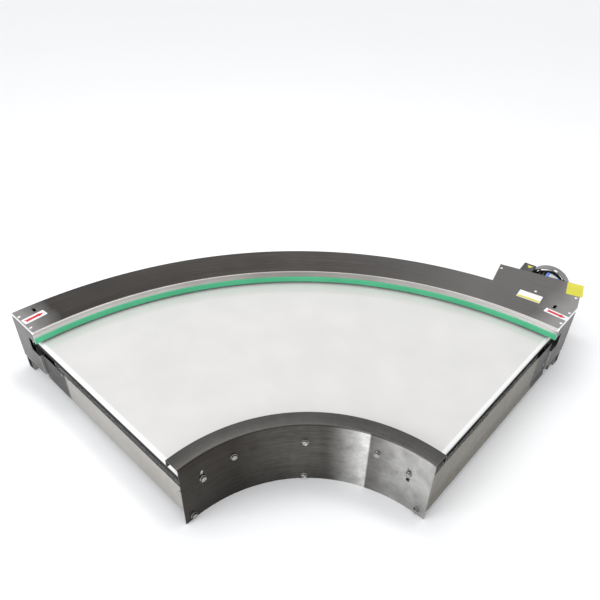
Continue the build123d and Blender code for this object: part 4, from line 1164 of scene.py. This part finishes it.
def model_grille():
    """Rings, spokes and hub of the fan cover's grille."""
    pieces = []
    for radius in GRILLE_RINGS:
        leave_nothing_selected()
        bpy.ops.mesh.primitive_torus_add(major_radius=radius, minor_radius=GRILLE_WIRE,
                                         major_segments=ARC_STEPS, minor_segments=8,
                                         location=(0, 0, CAP_DEPTH - GRILLE_SINK))
        settle(bpy.context.object)
        pieces.append(bpy.context.object)
    spoke = draw_plate(rectangle(*SPOKE_SIDES), CAP_WALL)
    lift = Matrix.Translation((0, 0, CAP_DEPTH - SPOKE_SINK))
    turns = [lift @ turned(index * 360 / SPOKE_COUNT, "Z") for index in range(SPOKE_COUNT)]
    pieces.append(copies_at(spoke, turns))
    hub_start = CAP_DEPTH - GRILLE_HUB_THICKNESS
    hub = add_cylinder(GRILLE_HUB_RADIUS, hub_start, CAP_DEPTH, sides=36)
    bevel_edges(hub, above(CAP_DEPTH * 0.99), GRILLE_HUB_EDGE, 2)
    return pieces + [hub]


def model_fan_cover():
    """Pressed cap with a rounded rear edge and its grille."""
    inner = CAP_RADIUS - CAP_WALL
    rim = CAP_RADIUS - CAP_CORNER
    bend = CAP_DEPTH - CAP_CORNER
    profile = [(CAP_RADIUS, 0.0)]
    profile += arc(rim, bend, CAP_CORNER, 0, 90, steps=8)
    profile += [(GRILLE_RADIUS, CAP_DEPTH), (GRILLE_RADIUS, CAP_DEPTH - CAP_WALL)]
    profile += arc(rim, bend, inner - rim, 90, 0, steps=8)
    profile += [(inner, 0.0), (CAP_RADIUS, 0.0)]
    cap = join([spun(profile, ARC_STEPS)] + model_grille())
    smooth_by_angle(cap, 35.0)
    put(cap, motor_frame(CAP_START))
    finish_piece(cap, "fan_cap", "fan_cover_paint", stands_for=("fan_cover",))


def curved_plate(radius, start, end, low, high, thickness):
    """Plate on a cylinder about the motor's axis, between two angles and two places along it."""
    piece = draw_line([(x, y, low) for x, y in arc(0, 0, radius, start, end, steps=12)])
    start_edit(piece, "EDGE", everything=True)
    extrude_by((0, 0, high - low))
    end_edit()
    face_outward(piece)
    apply_modifier(piece, "SOLIDIFY", thickness=thickness, offset=0.0)
    smooth_by_angle(piece, 30.0)
    return face_outward(piece)


def add_motor_plates():
    """Bare silver nameplate with two blue stripes on the fins, and a small light tag on the fan cover."""
    on_motor = motor_frame(FLANGE_FACE)
    plate = curved_plate(FIN_TIP_RADIUS + 0.0006, start=86, end=127, low=0.078, high=0.161, thickness=0.0008)
    finish_piece(put(plate, on_motor), "motor_plate", "motor_paint", material="plate_silver")
    stripes = [curved_plate(FIN_TIP_RADIUS + 0.0012, start, start + 7, low=0.079, high=0.160,
                            thickness=0.0004) for start in (87, 119)]
    finish_piece(put(join(stripes), on_motor), "motor_plate_stripes", "motor_paint", material="label_blue")
    tag = curved_plate(CAP_RADIUS + 0.0003, start=98, end=107, low=0.0, high=0.010, thickness=0.0006)
    finish_piece(put(tag, motor_frame(CAP_START + 0.001)), "fan_cover_tag", "fan_cover_paint",
                 material="label_white")


def add_motor_screws():
    """Screws of the fan cover, the flange and the terminal box's lid."""
    sideways = turned(90, "Y")
    rim = [motor_frame(CAP_START) @ corner @ sideways
           for corner in corner_frames(CAP_RADIUS, along=0.004)]
    screw = model_screw(diameter=0.008, height=0.0022, socket=0.0025)
    finish_piece(copies_at(screw, rim), "fan_cover_screws", "fastener_steel")
    flange = [motor_frame(FLANGE_FACE) @ corner for corner in corner_frames(FLANGE_SCREW_RADIUS)]
    screw = model_screw(diameter=0.009, height=0.0055, socket=0.005, edge=0.1, edge_steps=2,
                        socket_floor=0.45)
    finish_piece(copies_at(screw, flange), "flange_screws", "fastener_steel")
    lid = motor_frame(LID_ALONG) @ Matrix.Translation(LID_MIDDLE) @ sideways
    reach_x, reach_y = LID_SCREW_REACH
    frames = [lid @ Matrix.Translation((x, y, 0)) for x in (-reach_x, reach_x) for y in (-reach_y, reach_y)]
    screw = model_screw(diameter=0.007, height=0.0018, socket=0.0025)
    finish_piece(copies_at(screw, frames), "lid_screws", "fastener_steel")


def add_box_sticker():
    """Small bare triangle on top of the terminal box."""
    sticker = draw_plate(BOX_STICKER, STICKER)
    top = motor_frame(BOX_STICKER_ALONG) @ Matrix.Translation(BOX_STICKER_PLACE) @ turned(-90, "X")
    finish_piece(put(sticker, top), "box_sticker", "terminal_plastic", material="label_yellow")


materials = make_materials()
add_camera()
add_studio()
dress_cad_nodes()
model_top_cover()
model_inner_guard()
model_edge_strip()
add_guard_bolts()
add_cover_screws()
add_plate_screws()
add_stickers()
model_fan_cover()
add_motor_plates()
add_motor_screws()
add_box_sticker()
